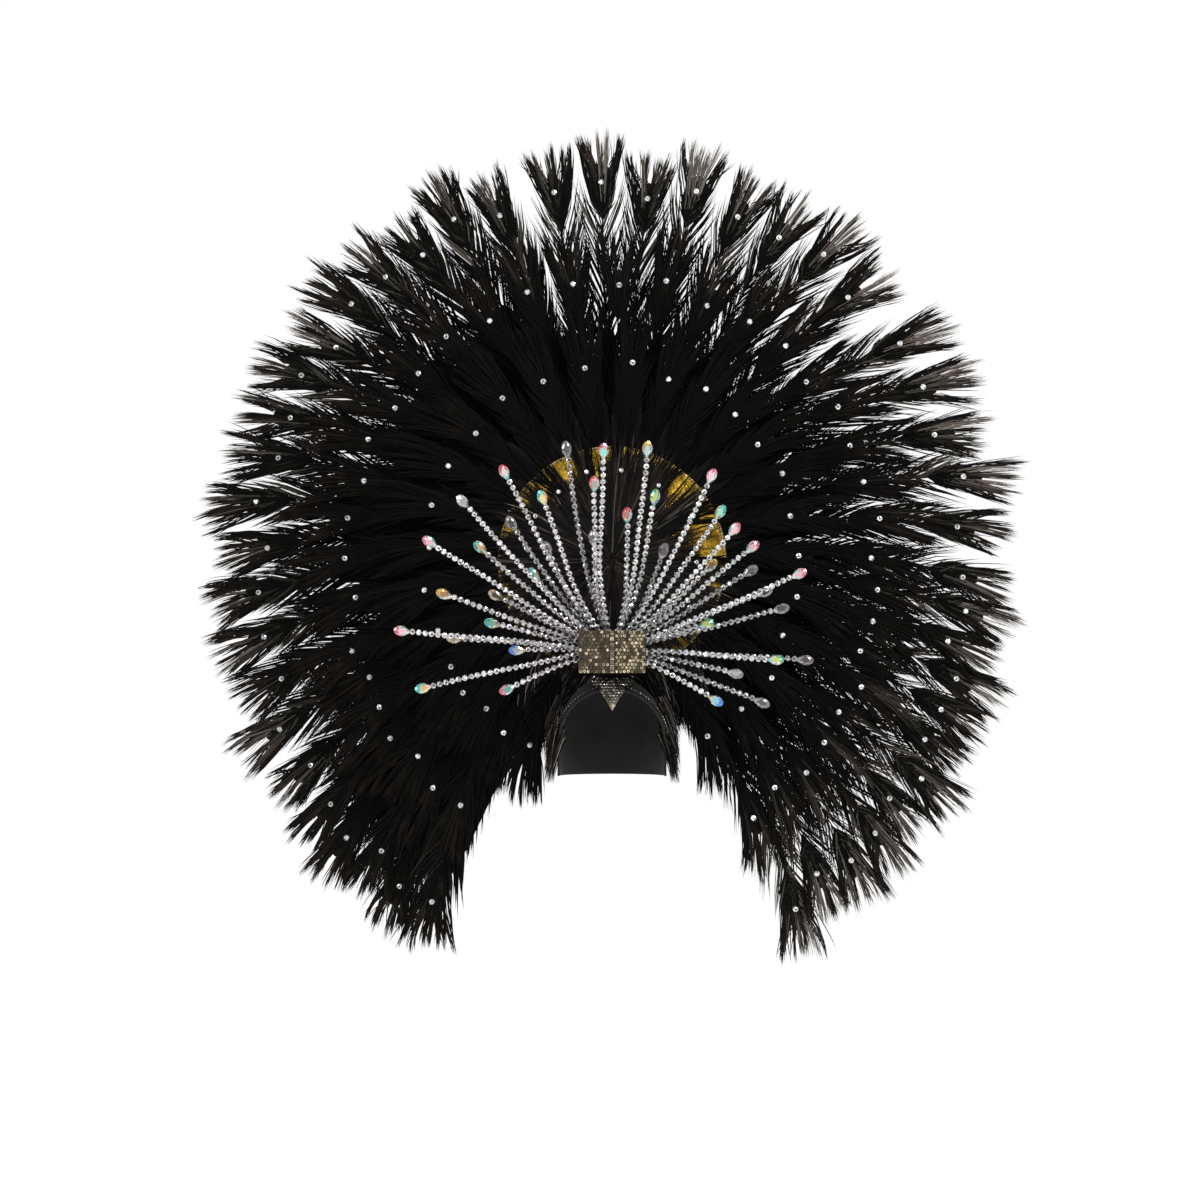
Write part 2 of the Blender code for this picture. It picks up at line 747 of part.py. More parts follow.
def wobble(number):
    """A small steady variation from feather to feather, between -1 and 1."""
    return math.sin(number * WOBBLE_TURN)


def quill_band(name, root_angles, back, parts):
    """The band that a sector's quills are set in."""
    first = max(root_angles) + BAND_OVERHANG
    last = min(root_angles) - BAND_OVERHANG
    steps = math.ceil((first - last) / BAND_STEP)
    sections = []
    for step in range(steps + 1):
        angle = first + (last - first) * step / steps
        inner = polar(BAND_INNER, angle)
        outer = polar(BAND_OUTER, angle)
        corners = [(inner, back), (outer, back), (outer, back - BAND_THICKNESS)]
        corners.append((inner, back - BAND_THICKNESS))
        sections.append([(place[0], forward, FAN_HEIGHT + place[1]) for place, forward in corners])
    return loft(name, sections, parts)


def fan_tier(tier, back, parts, material):
    """One ring of feathers, a node for each of its sectors."""
    middle = back - BAND_THICKNESS / 2.0
    sectors = {}
    number = 0
    for clump in tier.clumps:
        for eye_angle in clump_angles(clump):
            reach = reach_at(eye_angle, tier, number)
            root_angle, line = quill_line(eye_angle, QUILL_ROOT, tier, reach)
            layer_place = middle + (LAYER_SHIFT if number % 2 else -LAYER_SHIFT)
            sectors.setdefault(clump[0], []).append((root_angle, line, layer_place))
            number += 1
    for sector, quills in sectors.items():
        name = f"{tier.name}_{sector}"
        pieces = [quill_band(name + "_band", [quill[0] for quill in quills], back, parts)]
        for step, (_, line, layer_place) in enumerate(quills):
            pieces.append(feather(f"{name}_{step}", tier, line, layer_place, parts))
        fuse(name, pieces, parts, material)


def crest_feathers(parts, material):
    """The short feathers over the gold board, fused to a root disc."""
    root = disc(
        "crest_root", CREST_ROOT_RADIUS, CREST_ROOT_BACK, CREST_ROOT_THICKNESS, CREST_ROOT_SIDES, parts, None
    )
    middle = CREST_ROOT_BACK - CREST_ROOT_THICKNESS / 2.0
    pieces = [root]
    number = 0
    for clump in CREST_TIER.clumps:
        for eye_angle in clump_angles(clump):
            reach = reach_at(eye_angle, CREST_TIER, number)
            _, line = quill_line(eye_angle, CREST_QUILL_ROOT, CREST_TIER, reach)
            pieces.append(feather(f"crest_{number}", CREST_TIER, line, middle, parts))
            number += 1
    fuse("crest_feathers", pieces, parts, material)


def side_tuft(name, side, parts, material):
    """Short locks beside the cap, fused to a pad on the cap's straight wall."""
    top = -CROWN_HEIGHT - TUFT_PAD_BELOW
    inner = CAP_OUTER_WIDTH + GAP
    outer = CAP_OUTER_WIDTH + TUFT_FLARE * TUFT_STATIONS[2][0]
    pad = box(
        name + "_pad",
        (min(side * inner, side * outer), -TUFT_PAD_WIDTH / 2.0, top - TUFT_PAD_HEIGHT),
        (max(side * inner, side * outer), TUFT_PAD_WIDTH / 2.0, top),
        parts,
    )
    pieces = [pad]
    for number in range(TUFT_LOCKS):
        forward = (number - (TUFT_LOCKS - 1) / 2.0) * TUFT_PITCH
        stagger = TUFT_STAGGER if number % 2 else -TUFT_STAGGER
        sections = []
        for out_share, down_share, width_share in TUFT_STATIONS:
            across = CAP_OUTER_WIDTH + TUFT_FLARE * out_share + stagger
            height = -CAP_DROP * (down_share + TUFT_WOBBLE * wobble(number))
            middle = Vector((side * across, forward, height))
            half = Vector((0.0, TUFT_LOCK_WIDTH * width_share / 2.0, 0.0))
            thick = Vector((side * TUFT_LOCK_THICKNESS / 2.0, 0.0, 0.0))
            sections.append([middle - thick + half, middle + thick, middle - thick - half])
        pieces.append(loft(f"{name}_{number}", sections, parts))
    fuse(name, pieces, parts, material)


def main():
    """Build every piece of the headdress."""
    clear_scene()
    parts = new_collection("carnival_feather_headdress")
    cutters = new_collection("cutters")
    feather_black = new_material("dyed_feather", (0.012, 0.010, 0.009), 0.6)
    cap_black = new_material("cap_fabric", (0.02, 0.018, 0.017), 0.8)
    felt_black = new_material("black_felt", (0.01, 0.01, 0.01), 0.95)
    clear_stone = new_material("clear_stone", (0.80, 0.80, 0.82), 0.08, 0.3)
    champagne_stone = new_material("champagne_stone", (0.70, 0.58, 0.38), 0.12, 0.3)
    gold_foil = new_material("gold_foil", (0.78, 0.50, 0.08), 0.3, 1.0)
    frame_metal = new_material("frame_metal", (0.10, 0.10, 0.10), 0.4, 1.0)

    cap_shell(parts, cutters, cap_black)
    cap_edge_trim(parts, clear_stone)
    brow_crest(parts, cutters, clear_stone)
    spray_base(parts, cutters, felt_black)
    pave_panels(parts, champagne_stone)
    centre_ridge(parts, champagne_stone)
    spray(parts, clear_stone)
    disc("gold_disc", GOLD_RADIUS, GOLD_BACK, GOLD_THICKNESS, BOARD_SIDES, parts, gold_foil)
    disc("back_board", BOARD_RADIUS, STACK_BACK, BOARD_THICKNESS, BOARD_SIDES, parts, felt_black)
    board_bracket(parts, frame_metal)
    for place, tier in enumerate(TIERS):
        fan_tier(tier, BANDS_BACK - place * BAND_PITCH, parts, feather_black)
    crest_feathers(parts, feather_black)
    side_tuft("side_tuft_left", -1.0, parts, feather_black)
    side_tuft("side_tuft_right", 1.0, parts, feather_black)


main()
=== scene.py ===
"""The looks of a carnival feather headdress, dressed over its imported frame.

Metres, +Z up, the face side towards -Y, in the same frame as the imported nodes. The fan's middle is the point that
every feather and its angle are measured from, with 0 degrees towards +X and 90 degrees straight up.
"""

from __future__ import annotations

import logging
import math
from collections.abc import Callable, Iterator, Sequence
from contextlib import contextmanager
from dataclasses import dataclass, field
from enum import Enum, IntEnum
from typing import ClassVar

import bmesh
import bpy
import numpy as np
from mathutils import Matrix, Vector


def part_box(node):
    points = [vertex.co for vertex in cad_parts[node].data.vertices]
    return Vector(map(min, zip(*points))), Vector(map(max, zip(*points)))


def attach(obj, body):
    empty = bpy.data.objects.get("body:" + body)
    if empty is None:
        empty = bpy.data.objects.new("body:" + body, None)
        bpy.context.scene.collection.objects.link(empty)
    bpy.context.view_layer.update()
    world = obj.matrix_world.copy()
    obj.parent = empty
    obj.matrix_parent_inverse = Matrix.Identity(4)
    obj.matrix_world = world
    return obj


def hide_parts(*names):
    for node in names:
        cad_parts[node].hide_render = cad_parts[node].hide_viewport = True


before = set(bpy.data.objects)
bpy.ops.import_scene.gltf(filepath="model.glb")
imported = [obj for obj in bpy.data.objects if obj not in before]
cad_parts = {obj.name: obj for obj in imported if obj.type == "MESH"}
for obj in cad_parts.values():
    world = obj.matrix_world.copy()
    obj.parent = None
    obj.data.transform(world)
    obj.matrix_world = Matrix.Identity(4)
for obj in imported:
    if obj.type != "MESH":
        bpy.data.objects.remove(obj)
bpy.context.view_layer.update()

LOG = logging.getLogger("headdress")
BODY = "root"
Colour = tuple[float, float, float]
FRONT = np.array([0.0, -1.0, 0.0])
UP = np.array([0.0, 0.0, 1.0])
TINY = 1e-9


class Slot(Enum):
    """Material slots of the record."""

    FEATHER = "dyed_feather"
    CAP = "cap_fabric"
    FELT = "black_felt"
    CLEAR = "clear_stone"
    PEAR = "pear_stone"
    CHAMPAGNE = "champagne_stone"
    FOIL = "gold_foil"


class Flash(Enum):
    """Colours that one pear cut stone throws, from its wide end to its narrow end."""

    PINK = ((0.62, 0.18, 0.25), (0.82, 0.50, 0.54), (0.20, 0.60, 0.48), (0.74, 0.72, 0.68))
    RED = ((0.58, 0.09, 0.11), (0.76, 0.36, 0.33), (0.64, 0.66, 0.62), (0.18, 0.50, 0.48))
    CYAN = ((0.08, 0.46, 0.45), (0.34, 0.74, 0.56), (0.72, 0.48, 0.22), (0.74, 0.72, 0.64))
    BLUE = ((0.09, 0.25, 0.62), (0.25, 0.54, 0.66), (0.72, 0.72, 0.72), (0.60, 0.55, 0.32))
    GREEN = ((0.09, 0.42, 0.25), (0.54, 0.64, 0.20), (0.72, 0.72, 0.68), (0.20, 0.45, 0.62))
    GOLD = ((0.72, 0.48, 0.11), (0.42, 0.20, 0.07), (0.38, 0.56, 0.66), (0.76, 0.72, 0.62))
    CLEAR = ((0.66, 0.66, 0.66), (0.34, 0.34, 0.37), (0.60, 0.51, 0.36), (0.16, 0.16, 0.18))
    CHAMPAGNE = ((0.62, 0.50, 0.35), (0.36, 0.27, 0.20), (0.74, 0.66, 0.53), (0.22, 0.17, 0.12))
    # The greyed colours of stalks in the rear rows: painted shade.
    DIM = ((0.34, 0.31, 0.33), (0.55, 0.50, 0.52), (0.18, 0.17, 0.18), (0.72, 0.68, 0.70))


class Glass(Enum):
    """Colours that the facets of the round and bar cut stones throw."""

    EYE = ((1.0, 1.0, 1.0), (0.95, 0.96, 1.0), (0.85, 0.84, 0.86))
    CREST_EYE = ((1.0, 1.0, 1.0), (0.90, 0.88, 0.82), (0.85, 0.84, 0.86))
    STALK_LEFT = ((1.0, 1.0, 1.0), (0.97, 0.95, 0.92), (0.80, 0.69, 0.77))
    STALK_RIGHT = ((1.0, 1.0, 1.0), (0.97, 0.95, 0.92), (0.72, 0.79, 0.75))
    EDGE = ((1.0, 1.0, 1.0), (0.90, 0.92, 0.98), (1.0, 0.96, 0.90))
    CREST = ((0.80, 0.79, 0.76), (0.52, 0.48, 0.42), (0.36, 0.29, 0.20))
    PANEL = ((0.95, 0.80, 0.52), (0.62, 0.48, 0.27), (1.0, 0.94, 0.76), (0.30, 0.21, 0.11))
    RIDGE = ((0.62, 0.54, 0.40), (0.36, 0.29, 0.20), (0.85, 0.80, 0.68))
    RIM = ((1.0, 0.86, 0.50), (1.0, 1.0, 1.0), (0.80, 0.58, 0.22))


class Seed(IntEnum):
    """What the variation of each kind of piece starts from."""

    EDGE = 11
    CREST = 12
    PANEL_LEFT = 31
    PANEL_RIGHT = 32
    RIDGE = 33
    CREST_GEMS = 71
    VEIL = 72
    TUFT_LEFT = 81
    TUFT_RIGHT = 82
    RIM = 91
    GEMS = 500
    SKIRT_LEFT = 601
    SKIRT_RIGHT = 602
    STALKS = 1000
    FEATHERS = 10000
    CREST_FEATHERS = 70000


# Materials


class Value:
    """A number that varies over a surface. Its operators add Math nodes to the material."""

    def __init__(self, paint: Paint, socket: bpy.types.NodeSocket) -> None:
        """Wrap a socket.

        Args:
            paint: The material being made.
            socket: The output that gives the number.
        """
        self.paint = paint
        self.socket = socket

    def math(self, operation: str, first: object, second: object) -> Value:
        """One Math node.

        Args:
            operation: Blender's name for the operation.
            first: A Value or a number.
            second: A Value or a number.

        Returns:
            The node's result.
        """
        node = self.paint.node("ShaderNodeMath", {"operation": operation}, {0: first, 1: second})
        return Value(self.paint, node.outputs[0])

    def __add__(self, other: object) -> Value:
        """This plus other."""
        return self.math("ADD", self, other)

    def __radd__(self, other: object) -> Value:
        """Other plus this."""
        return self.math("ADD", other, self)

    def __sub__(self, other: object) -> Value:
        """This less other."""
        return self.math("SUBTRACT", self, other)

    def __rsub__(self, other: object) -> Value:
        """Other less this."""
        return self.math("SUBTRACT", other, self)

    def __mul__(self, other: object) -> Value:
        """This times other."""
        return self.math("MULTIPLY", self, other)

    def __rmul__(self, other: object) -> Value:
        """Other times this."""
        return self.math("MULTIPLY", other, self)

    def between(self, low: float, high: float) -> Value:
        """A smooth step.

        Args:
            low: Where it leaves 0.
            high: Where it reaches 1.

        Returns:
            The step.
        """
        settings = {"interpolation_type": "SMOOTHSTEP"}
        node = self.paint.node("ShaderNodeMapRange", settings, {"Value": self, "From Min": low, "From Max": high})
        return Value(self.paint, node.outputs["Result"])


class Paint:
    """One material, with its node tree."""

    def __init__(self, name: str) -> None:
        """Start a material that holds a Principled shader.

        Args:
            name: The material's name.
        """
        self.material = bpy.data.materials.new(name)
        self.material.use_nodes = True
        self.tree = self.material.node_tree
        self.shader = self.tree.nodes["Principled BSDF"]
        self.place = self.node("ShaderNodeTexCoord").outputs["Object"]

    def node(
        self, kind: str, settings: dict[str, object] | None = None, values: dict[object, object] | None = None
    ) -> bpy.types.Node:
        """Add one node.

        Args:
            kind: The node's type.
            settings: Its properties. The stops of a colour ramp are (place, colour) pairs.
            values: Its inputs by name or number, each a number, a colour, a socket or a Value.

        Returns:
            The node.
        """
        node = self.tree.nodes.new(kind)
        for key, setting in (settings or {}).items():
            if key == "stops":
                ramp = node.color_ramp
                while len(ramp.elements) < len(setting):
                    ramp.elements.new(0.5)
                for element, (place, colour) in zip(ramp.elements, setting):
                    element.position = place
                    element.color = (*colour, 1.0)
            else:
                setattr(node, key, setting)
        for key, value in (values or {}).items():
            self.feed(node.inputs[key], value)
        return node

    def feed(self, socket: bpy.types.NodeSocket, value: object) -> None:
        """Set or link one input.

        Args:
            socket: The input.
            value: A number, a colour, a socket or a Value.
        """
        if isinstance(value, Value):
            self.tree.links.new(value.socket, socket)
        elif isinstance(value, bpy.types.NodeSocket):
            self.tree.links.new(value, socket)
        elif isinstance(value, tuple) and socket.type == "RGBA":
            socket.default_value = (*value, 1.0)
        else:
            socket.default_value = value

    def surface(self, **inputs: object) -> None:
        """Set the Principled shader's inputs, by their names with underscores for spaces."""
        for key, value in inputs.items():
            self.feed(self.shader.inputs[key.replace("_", " ")], value)

    def stretched(self, scale: Colour) -> bpy.types.NodeSocket:
        """Object coordinates stretched by a scale along each axis."""
        return self.node("ShaderNodeMapping", {}, {"Vector": self.place, "Scale": scale}).outputs["Vector"]

    def noise(self, size: float, detail: float = 3.0, where: bpy.types.NodeSocket | None = None) -> Value:
        """Soft noise from 0 to 1.

        Args:
            size: The size of its patches, in metres.
            detail: How many finer layers it has.
            where: Its coordinates, or None for the object's own.

        Returns:
            The noise.
        """
        values = {"Vector": where or self.place, "Scale": 1.0 / size, "Detail": detail}
        return Value(self, self.node("ShaderNodeTexNoise", {}, values).outputs["Fac"])

    def mix(self, share: object, first: object, second: object) -> bpy.types.NodeSocket:
        """A colour between two.

        Args:
            share: 0 for the first and 1 for the second.
            first: A colour or a socket.
            second: A colour or a socket.

        Returns:
            The mixed colour.
        """
        node = self.node("ShaderNodeMix", {"data_type": "RGBA"}, {0: share, 6: first, 7: second})
        return node.outputs[2]

    def attribute(self, name: str) -> bpy.types.Node:
        """The mesh attribute of that name."""
        return self.node("ShaderNodeAttribute", {"attribute_name": name})

    def bump(self, height: Value, depth: float) -> None:
        """Raise the surface by a height.

        Args:
            height: From 0 to 1.
            depth: What 1 stands for, in metres.
        """
        values = {"Height": height, "Distance": depth, "Strength": 1.0}
        self.surface(Normal=self.node("ShaderNodeBump", {}, values).outputs["Normal"])


@dataclass(frozen=True)
class FeatherDye:
    """Black dyed feather.

    Attributes:
        deep: Its black.
        warm: Its colour at the tips.
        green: Its colour round the eye.
        sheen_grey: The grey of the painted sheen: pale streaks on the strands that catch the light.
    """

    deep: Colour = (0.0011, 0.0009, 0.0009)
    warm: Colour = (0.020, 0.0130, 0.0100)
    green: Colour = (0.0014, 0.0024, 0.0012)
    sheen_grey: Colour = (0.175, 0.150, 0.128)

    def material(self) -> bpy.types.Material:
        """Mix the dye by each strand's traits: its tip share, its share of painted sheen and its nearness to the eye.

        Returns:
            The material.
        """
        paint = Paint("dyed_feather")
        traits = paint.node("ShaderNodeSeparateColor", {}, {"Color": paint.attribute("traits").outputs["Color"]})
        tip, sheen_share, eye = (Value(paint, traits.outputs[name]) for name in ("Red", "Green", "Blue"))
        patches = paint.noise(0.03, 2.0)
        fine = paint.noise(0.0012, 2.0)
        warm = paint.mix((tip * (0.20 + 1.1 * patches)).between(0.30, 1.0), self.deep, self.warm)
        green = paint.mix(eye * (0.35 + 0.6 * patches), warm, self.green)
        # Painted sheen: pale grey streaks where the strands catch the light, fewest on the eye.
        sheen_streaks = (sheen_share + 0.25 * fine - 0.12).between(0.18, 0.85) * (1.0 - 0.8 * eye)
        paint.surface(
            Base_Color=paint.mix(sheen_streaks, green, self.sheen_grey),
            Roughness=0.50 + 0.25 * fine,
            Specular_IOR_Level=0.07,
        )
        return paint.material


@dataclass(frozen=True)
class Facets:
    """Foil backed glass: every facet throws its own colour, with painted sparkle and reflections in it.

    Attributes:
        name: The material's name.
        metallic: How much it mirrors like its foil.
        roughness: How blurred its mirroring is where it is clean.
        coat: How much its clear surface mirrors.
        haze: The share of pale film where it is least clean.
        film: The film's colour.
    """

    name: str
    metallic: float = 0.72
    roughness: float = 0.07
    coat: float = 0.35
    haze: float = 0.06
    film: Colour = (0.75, 0.76, 0.80)

    def material(self) -> bpy.types.Material:
        """Colour the glass by its attribute facet.

        Returns:
            The material.
        """
        paint = Paint(self.name)
        haze = paint.noise(0.004, 2.0)
        colour = paint.attribute("facet").outputs["Color"]
        paint.surface(
            Base_Color=paint.mix(self.haze * haze, colour, self.film),
            Metallic=self.metallic,
            Roughness=self.roughness + 0.10 * haze,
            Coat_Weight=self.coat,
            Coat_Roughness=0.03,
        )
        return paint.material


@dataclass(frozen=True)
class Foil:
    """Gold foil pasted on board, creased and unevenly bright, from dull to bright."""

    bright: Colour = (0.31, 0.190, 0.018)
    dull: Colour = (0.06, 0.034, 0.005)

    def material(self) -> bpy.types.Material:
        """Build the nodes.

        Returns:
            The material.
        """
        paint = Paint("gold_foil")
        creases = paint.noise(0.012, 4.0, paint.stretched((1.0, 1.0, 0.4))).between(0.35, 0.65)
        clouds = paint.noise(0.02)
        grain = paint.noise(0.0015)
        paint.surface(
            Base_Color=paint.mix((clouds + 0.3 * grain).between(0.35, 0.85), self.dull, self.bright),
            Metallic=1.0,
            Roughness=0.22 + 0.22 * grain,
        )
        paint.bump(creases + 0.7 * clouds, 0.0016)
        return paint.material


@dataclass(frozen=True)
class Felt:
    """Black felt: matt, with a short matted pile, painted with shade in its depth and light at its ends."""

    dark: Colour = (0.003, 0.003, 0.003)
    light: Colour = (0.012, 0.011, 0.011)

    def material(self) -> bpy.types.Material:
        """Build the nodes.

        Returns:
            The material.
        """
        paint = Paint("black_felt")
        pile = paint.noise(0.0009, 4.0)
        wear = paint.noise(0.03, 2.0)
        # The pile's noise is painted shade in its depth and painted light on its ends; wear varies how strong it is.
        paint.surface(
            Base_Color=paint.mix(pile * (0.4 + 0.9 * wear), self.dark, self.light),
            Roughness=0.82 + 0.15 * pile,
            Specular_IOR_Level=0.1,
            Sheen_Weight=0.04,
        )
        paint.bump(pile, 0.0006)
        return paint.material


@dataclass(frozen=True)
class StretchFabric:
    """Black stretch fabric with a fine knit and a soft sheen.

    Attributes:
        dark: Its colour between the stitches, painted shade.
        light: Its colour on them, painted highlight.
        rib: The width of a stitch.
    """

    dark: Colour = (0.004, 0.0035, 0.0035)
    light: Colour = (0.018, 0.016, 0.015)
    rib: float = 0.0011

    def material(self) -> bpy.types.Material:
        """Build the nodes.

        Returns:
            The material.
        """
        paint = Paint("cap_fabric")
        along = {"Vector": paint.place, "Scale": 1.0 / self.rib / 3.2}
        wales = Value(paint, paint.node("ShaderNodeTexWave", {"bands_direction": "X"}, along).outputs["Fac"])
        courses = Value(paint, paint.node("ShaderNodeTexWave", {"bands_direction": "Z"}, along).outputs["Fac"])
        creases = paint.noise(0.02, 2.0, paint.stretched((1.0, 1.0, 0.35)))
        knit = wales * courses
        # Painted shade between the stitches and painted highlight on them, stronger where the crease noise is high.
        paint.surface(
            Base_Color=paint.mix(knit * (0.3 + 0.8 * creases), self.dark, self.light),
            Roughness=0.55 + 0.25 * knit,
            Sheen_Weight=0.04,
            Specular_IOR_Level=0.2,
        )
        paint.bump(0.3 * knit + creases, 0.0012)
        return paint.material


@dataclass(frozen=True)
class CastMetal:
    """Plated metal with fine scratches.

    Attributes:
        name: The material's name.
        bright: Its colour where it is polished.
        dull: Its colour where it is stained.
        roughness: How blurred its mirroring is where it is polished.
    """

    name: str
    bright: Colour
    dull: Colour
    roughness: float = 0.22

    def material(self) -> bpy.types.Material:
        """Build the nodes.

        Returns:
            The material.
        """
        paint = Paint(self.name)
        scratches = paint.noise(0.002, 3.0, paint.stretched((1.0, 1.0, 0.08)))
        stains = paint.noise(0.012)
        paint.surface(
            Base_Color=paint.mix((stains + 0.4 * scratches).between(0.35, 0.9), self.dull, self.bright),
            Metallic=1.0,
            Roughness=self.roughness + 0.25 * scratches,
        )
        paint.bump(scratches, 0.0002)
        return paint.material


class Wardrobe:
    """Every finish of the headdress, each made once."""

    def __init__(self) -> None:
        """Make the materials."""
        self.finishes = {
            Slot.FEATHER: FeatherDye().material(),
            Slot.CLEAR: Facets("clear_stone").material(),
            Slot.PEAR: Facets("pear_stone", 0.80, 0.06, 0.15).material(),
            Slot.CHAMPAGNE: Facets("champagne_stone", 0.85, 0.10, 0.10).material(),
            Slot.FOIL: Foil().material(),
            Slot.FELT: Felt().material(),
            Slot.CAP: StretchFabric().material(),
        }
        self.crest_plate = CastMetal("crest_plate", (0.26, 0.225, 0.165), (0.07, 0.055, 0.040)).material()
        self.panel_plate = CastMetal("champagne_plate", (0.075, 0.050, 0.026), (0.018, 0.012, 0.007)).material()
        self.steel = CastMetal("bracket_steel", (0.16, 0.16, 0.17), (0.05, 0.05, 0.05), 0.32).material()

    def dress(self, item: bpy.types.Object, name: str, slot: Slot, *replaced: str) -> None:
        """Name, finish and register one piece.

        Args:
            item: The piece.
            name: Its name.
            slot: The record's slot, which also chooses the finish.
            *replaced: The nodes that it stands for.
        """
        item.name = name
        item.data.name = name
        item.data.materials.clear()
        item.data.materials.append(self.finishes[slot])
        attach(item, BODY)
        if replaced:
            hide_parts(*replaced)
        LOG.info("%s: %d triangles", name, triangles(item))


# Modelling tools


def triangles(item: bpy.types.Object) -> int:
    """How many triangles an object's mesh has."""
    return sum(len(face.vertices) - 2 for face in item.data.polygons)


def pick(item: bpy.types.Object) -> None:
    """Select one object alone and make it active.

    Args:
        item: The object.
    """
    bpy.ops.object.select_all(action="DESELECT")
    item.select_set(True)
    bpy.context.view_layer.objects.active = item


@contextmanager
def editing(item: bpy.types.Object) -> Iterator[None]:
    """Edit mode on one object, with everything in it selected.

    Args:
        item: The object.
    """
    pick(item)
    bpy.ops.object.mode_set(mode="EDIT")
    bpy.ops.mesh.select_all(action="SELECT")
    yield
    bpy.ops.object.mode_set(mode="OBJECT")


def choose(test: Callable[[Vector, Vector], bool], kind: str = "FACE") -> None:
    """In edit mode, select what passes a test.

    Args:
        test: Takes the middle and the normal of a face, or the place and the normal of a corner.
        kind: FACE or VERT.
    """
    bpy.ops.mesh.select_all(action="DESELECT")
    bpy.ops.mesh.select_mode(type=kind)
    mesh = bpy.context.active_object.data
    shape = bmesh.from_edit_mesh(mesh)
    for part in shape.faces if kind == "FACE" else shape.verts:
        middle = part.calc_center_median() if kind == "FACE" else part.co
        part.select_set(test(middle, part.normal))
    shape.select_flush_mode()
    bmesh.update_edit_mesh(mesh)


def extrude(move: Colour) -> None:
    """In edit mode, extrude what is selected by a move."""
    bpy.ops.mesh.extrude_region_move(TRANSFORM_OT_translate={"value": move})


def resize(value: Colour, middle: Colour = (0.0, 0.0, 0.0)) -> None:
    """In edit mode, scale what is selected about a point."""
    bpy.ops.transform.resize(value=value, center_override=middle)


def face_outwards() -> None:
    """In edit mode, turn every face outward."""
    bpy.ops.mesh.select_all(action="SELECT")
    bpy.ops.mesh.normals_make_consistent(inside=False)


def new_primitive(kind: str, **sizes: object) -> bpy.types.Object:
    """Add a primitive with nothing else selected.

    Args:
        kind: Blender's name for the primitive, such as cone.
        **sizes: The operator's arguments.

    Returns:
        The object.
    """
    bpy.ops.object.select_all(action="DESELECT")
    getattr(bpy.ops.mesh, f"primitive_{kind}_add")(**sizes)
    return bpy.context.active_object


def settle(item: bpy.types.Object) -> None:
    """Apply an object's place, turn and size to its mesh."""
    pick(item)
    bpy.ops.object.transform_apply(location=True, rotation=True, scale=True)


def unit(vectors: np.ndarray) -> np.ndarray:
    """Vectors scaled to length 1."""
    return vectors / np.maximum(np.linalg.norm(vectors, axis=-1, keepdims=True), TINY)


def rows(*columns: object) -> np.ndarray:
    """Rows of numbers from their columns, of which some may be single numbers."""
    return np.stack(np.broadcast_arrays(*columns), axis=-1)


def curve(start: np.ndarray, bend: np.ndarray, end: np.ndarray, shares: np.ndarray) -> np.ndarray:
    """Points on smooth curves.

    Args:
        start: Where each curve begins, as curves by 3.
        bend: The point that each is pulled towards.
        end: Where each ends.
        shares: How far along each curve its points lie, from 0 to 1.

    Returns:
        The points, as curves by shares by 3.
    """
    share = shares[None, :, None]
    return start[:, None] * (1.0 - share) ** 2 + bend[:, None] * 2.0 * share * (1.0 - share) + end[:, None] * share**2


def resample(points: np.ndarray, places: np.ndarray) -> np.ndarray:
    """Points at distances along a line of points."""
    steps = np.r_[0.0, np.cumsum(np.linalg.norm(np.diff(points, axis=0), axis=1))]
    return rows(*(np.interp(places, steps, points[:, axis]) for axis in range(3)))


def inside(points: np.ndarray, outline: np.ndarray, margin: float) -> np.ndarray:
    """Which points lie inside an outline, at least a margin from its edge.

    Args:
        points: Points by 2.
        outline: Corners by 2.
        margin: The least distance to the edge.

    Returns:
        True or False for each point.
    """
    within = np.zeros(len(points), bool)
    near = np.full(len(points), np.inf)
    for first, second in zip(outline, np.roll(outline, -1, axis=0)):
        span = second - first
        crosses = (first[1] > points[:, 1]) != (second[1] > points[:, 1])
        reach = first[0] + (points[:, 1] - first[1]) * span[0] / (span[1] or TINY)
        within ^= crosses & (points[:, 0] < reach)
        share = np.clip(((points - first) @ span) / (span @ span), 0.0, 1.0)
        near = np.minimum(near, np.linalg.norm(points - first - share[:, None] * span, axis=1))
    return within & (near > margin)


# Strands and stones


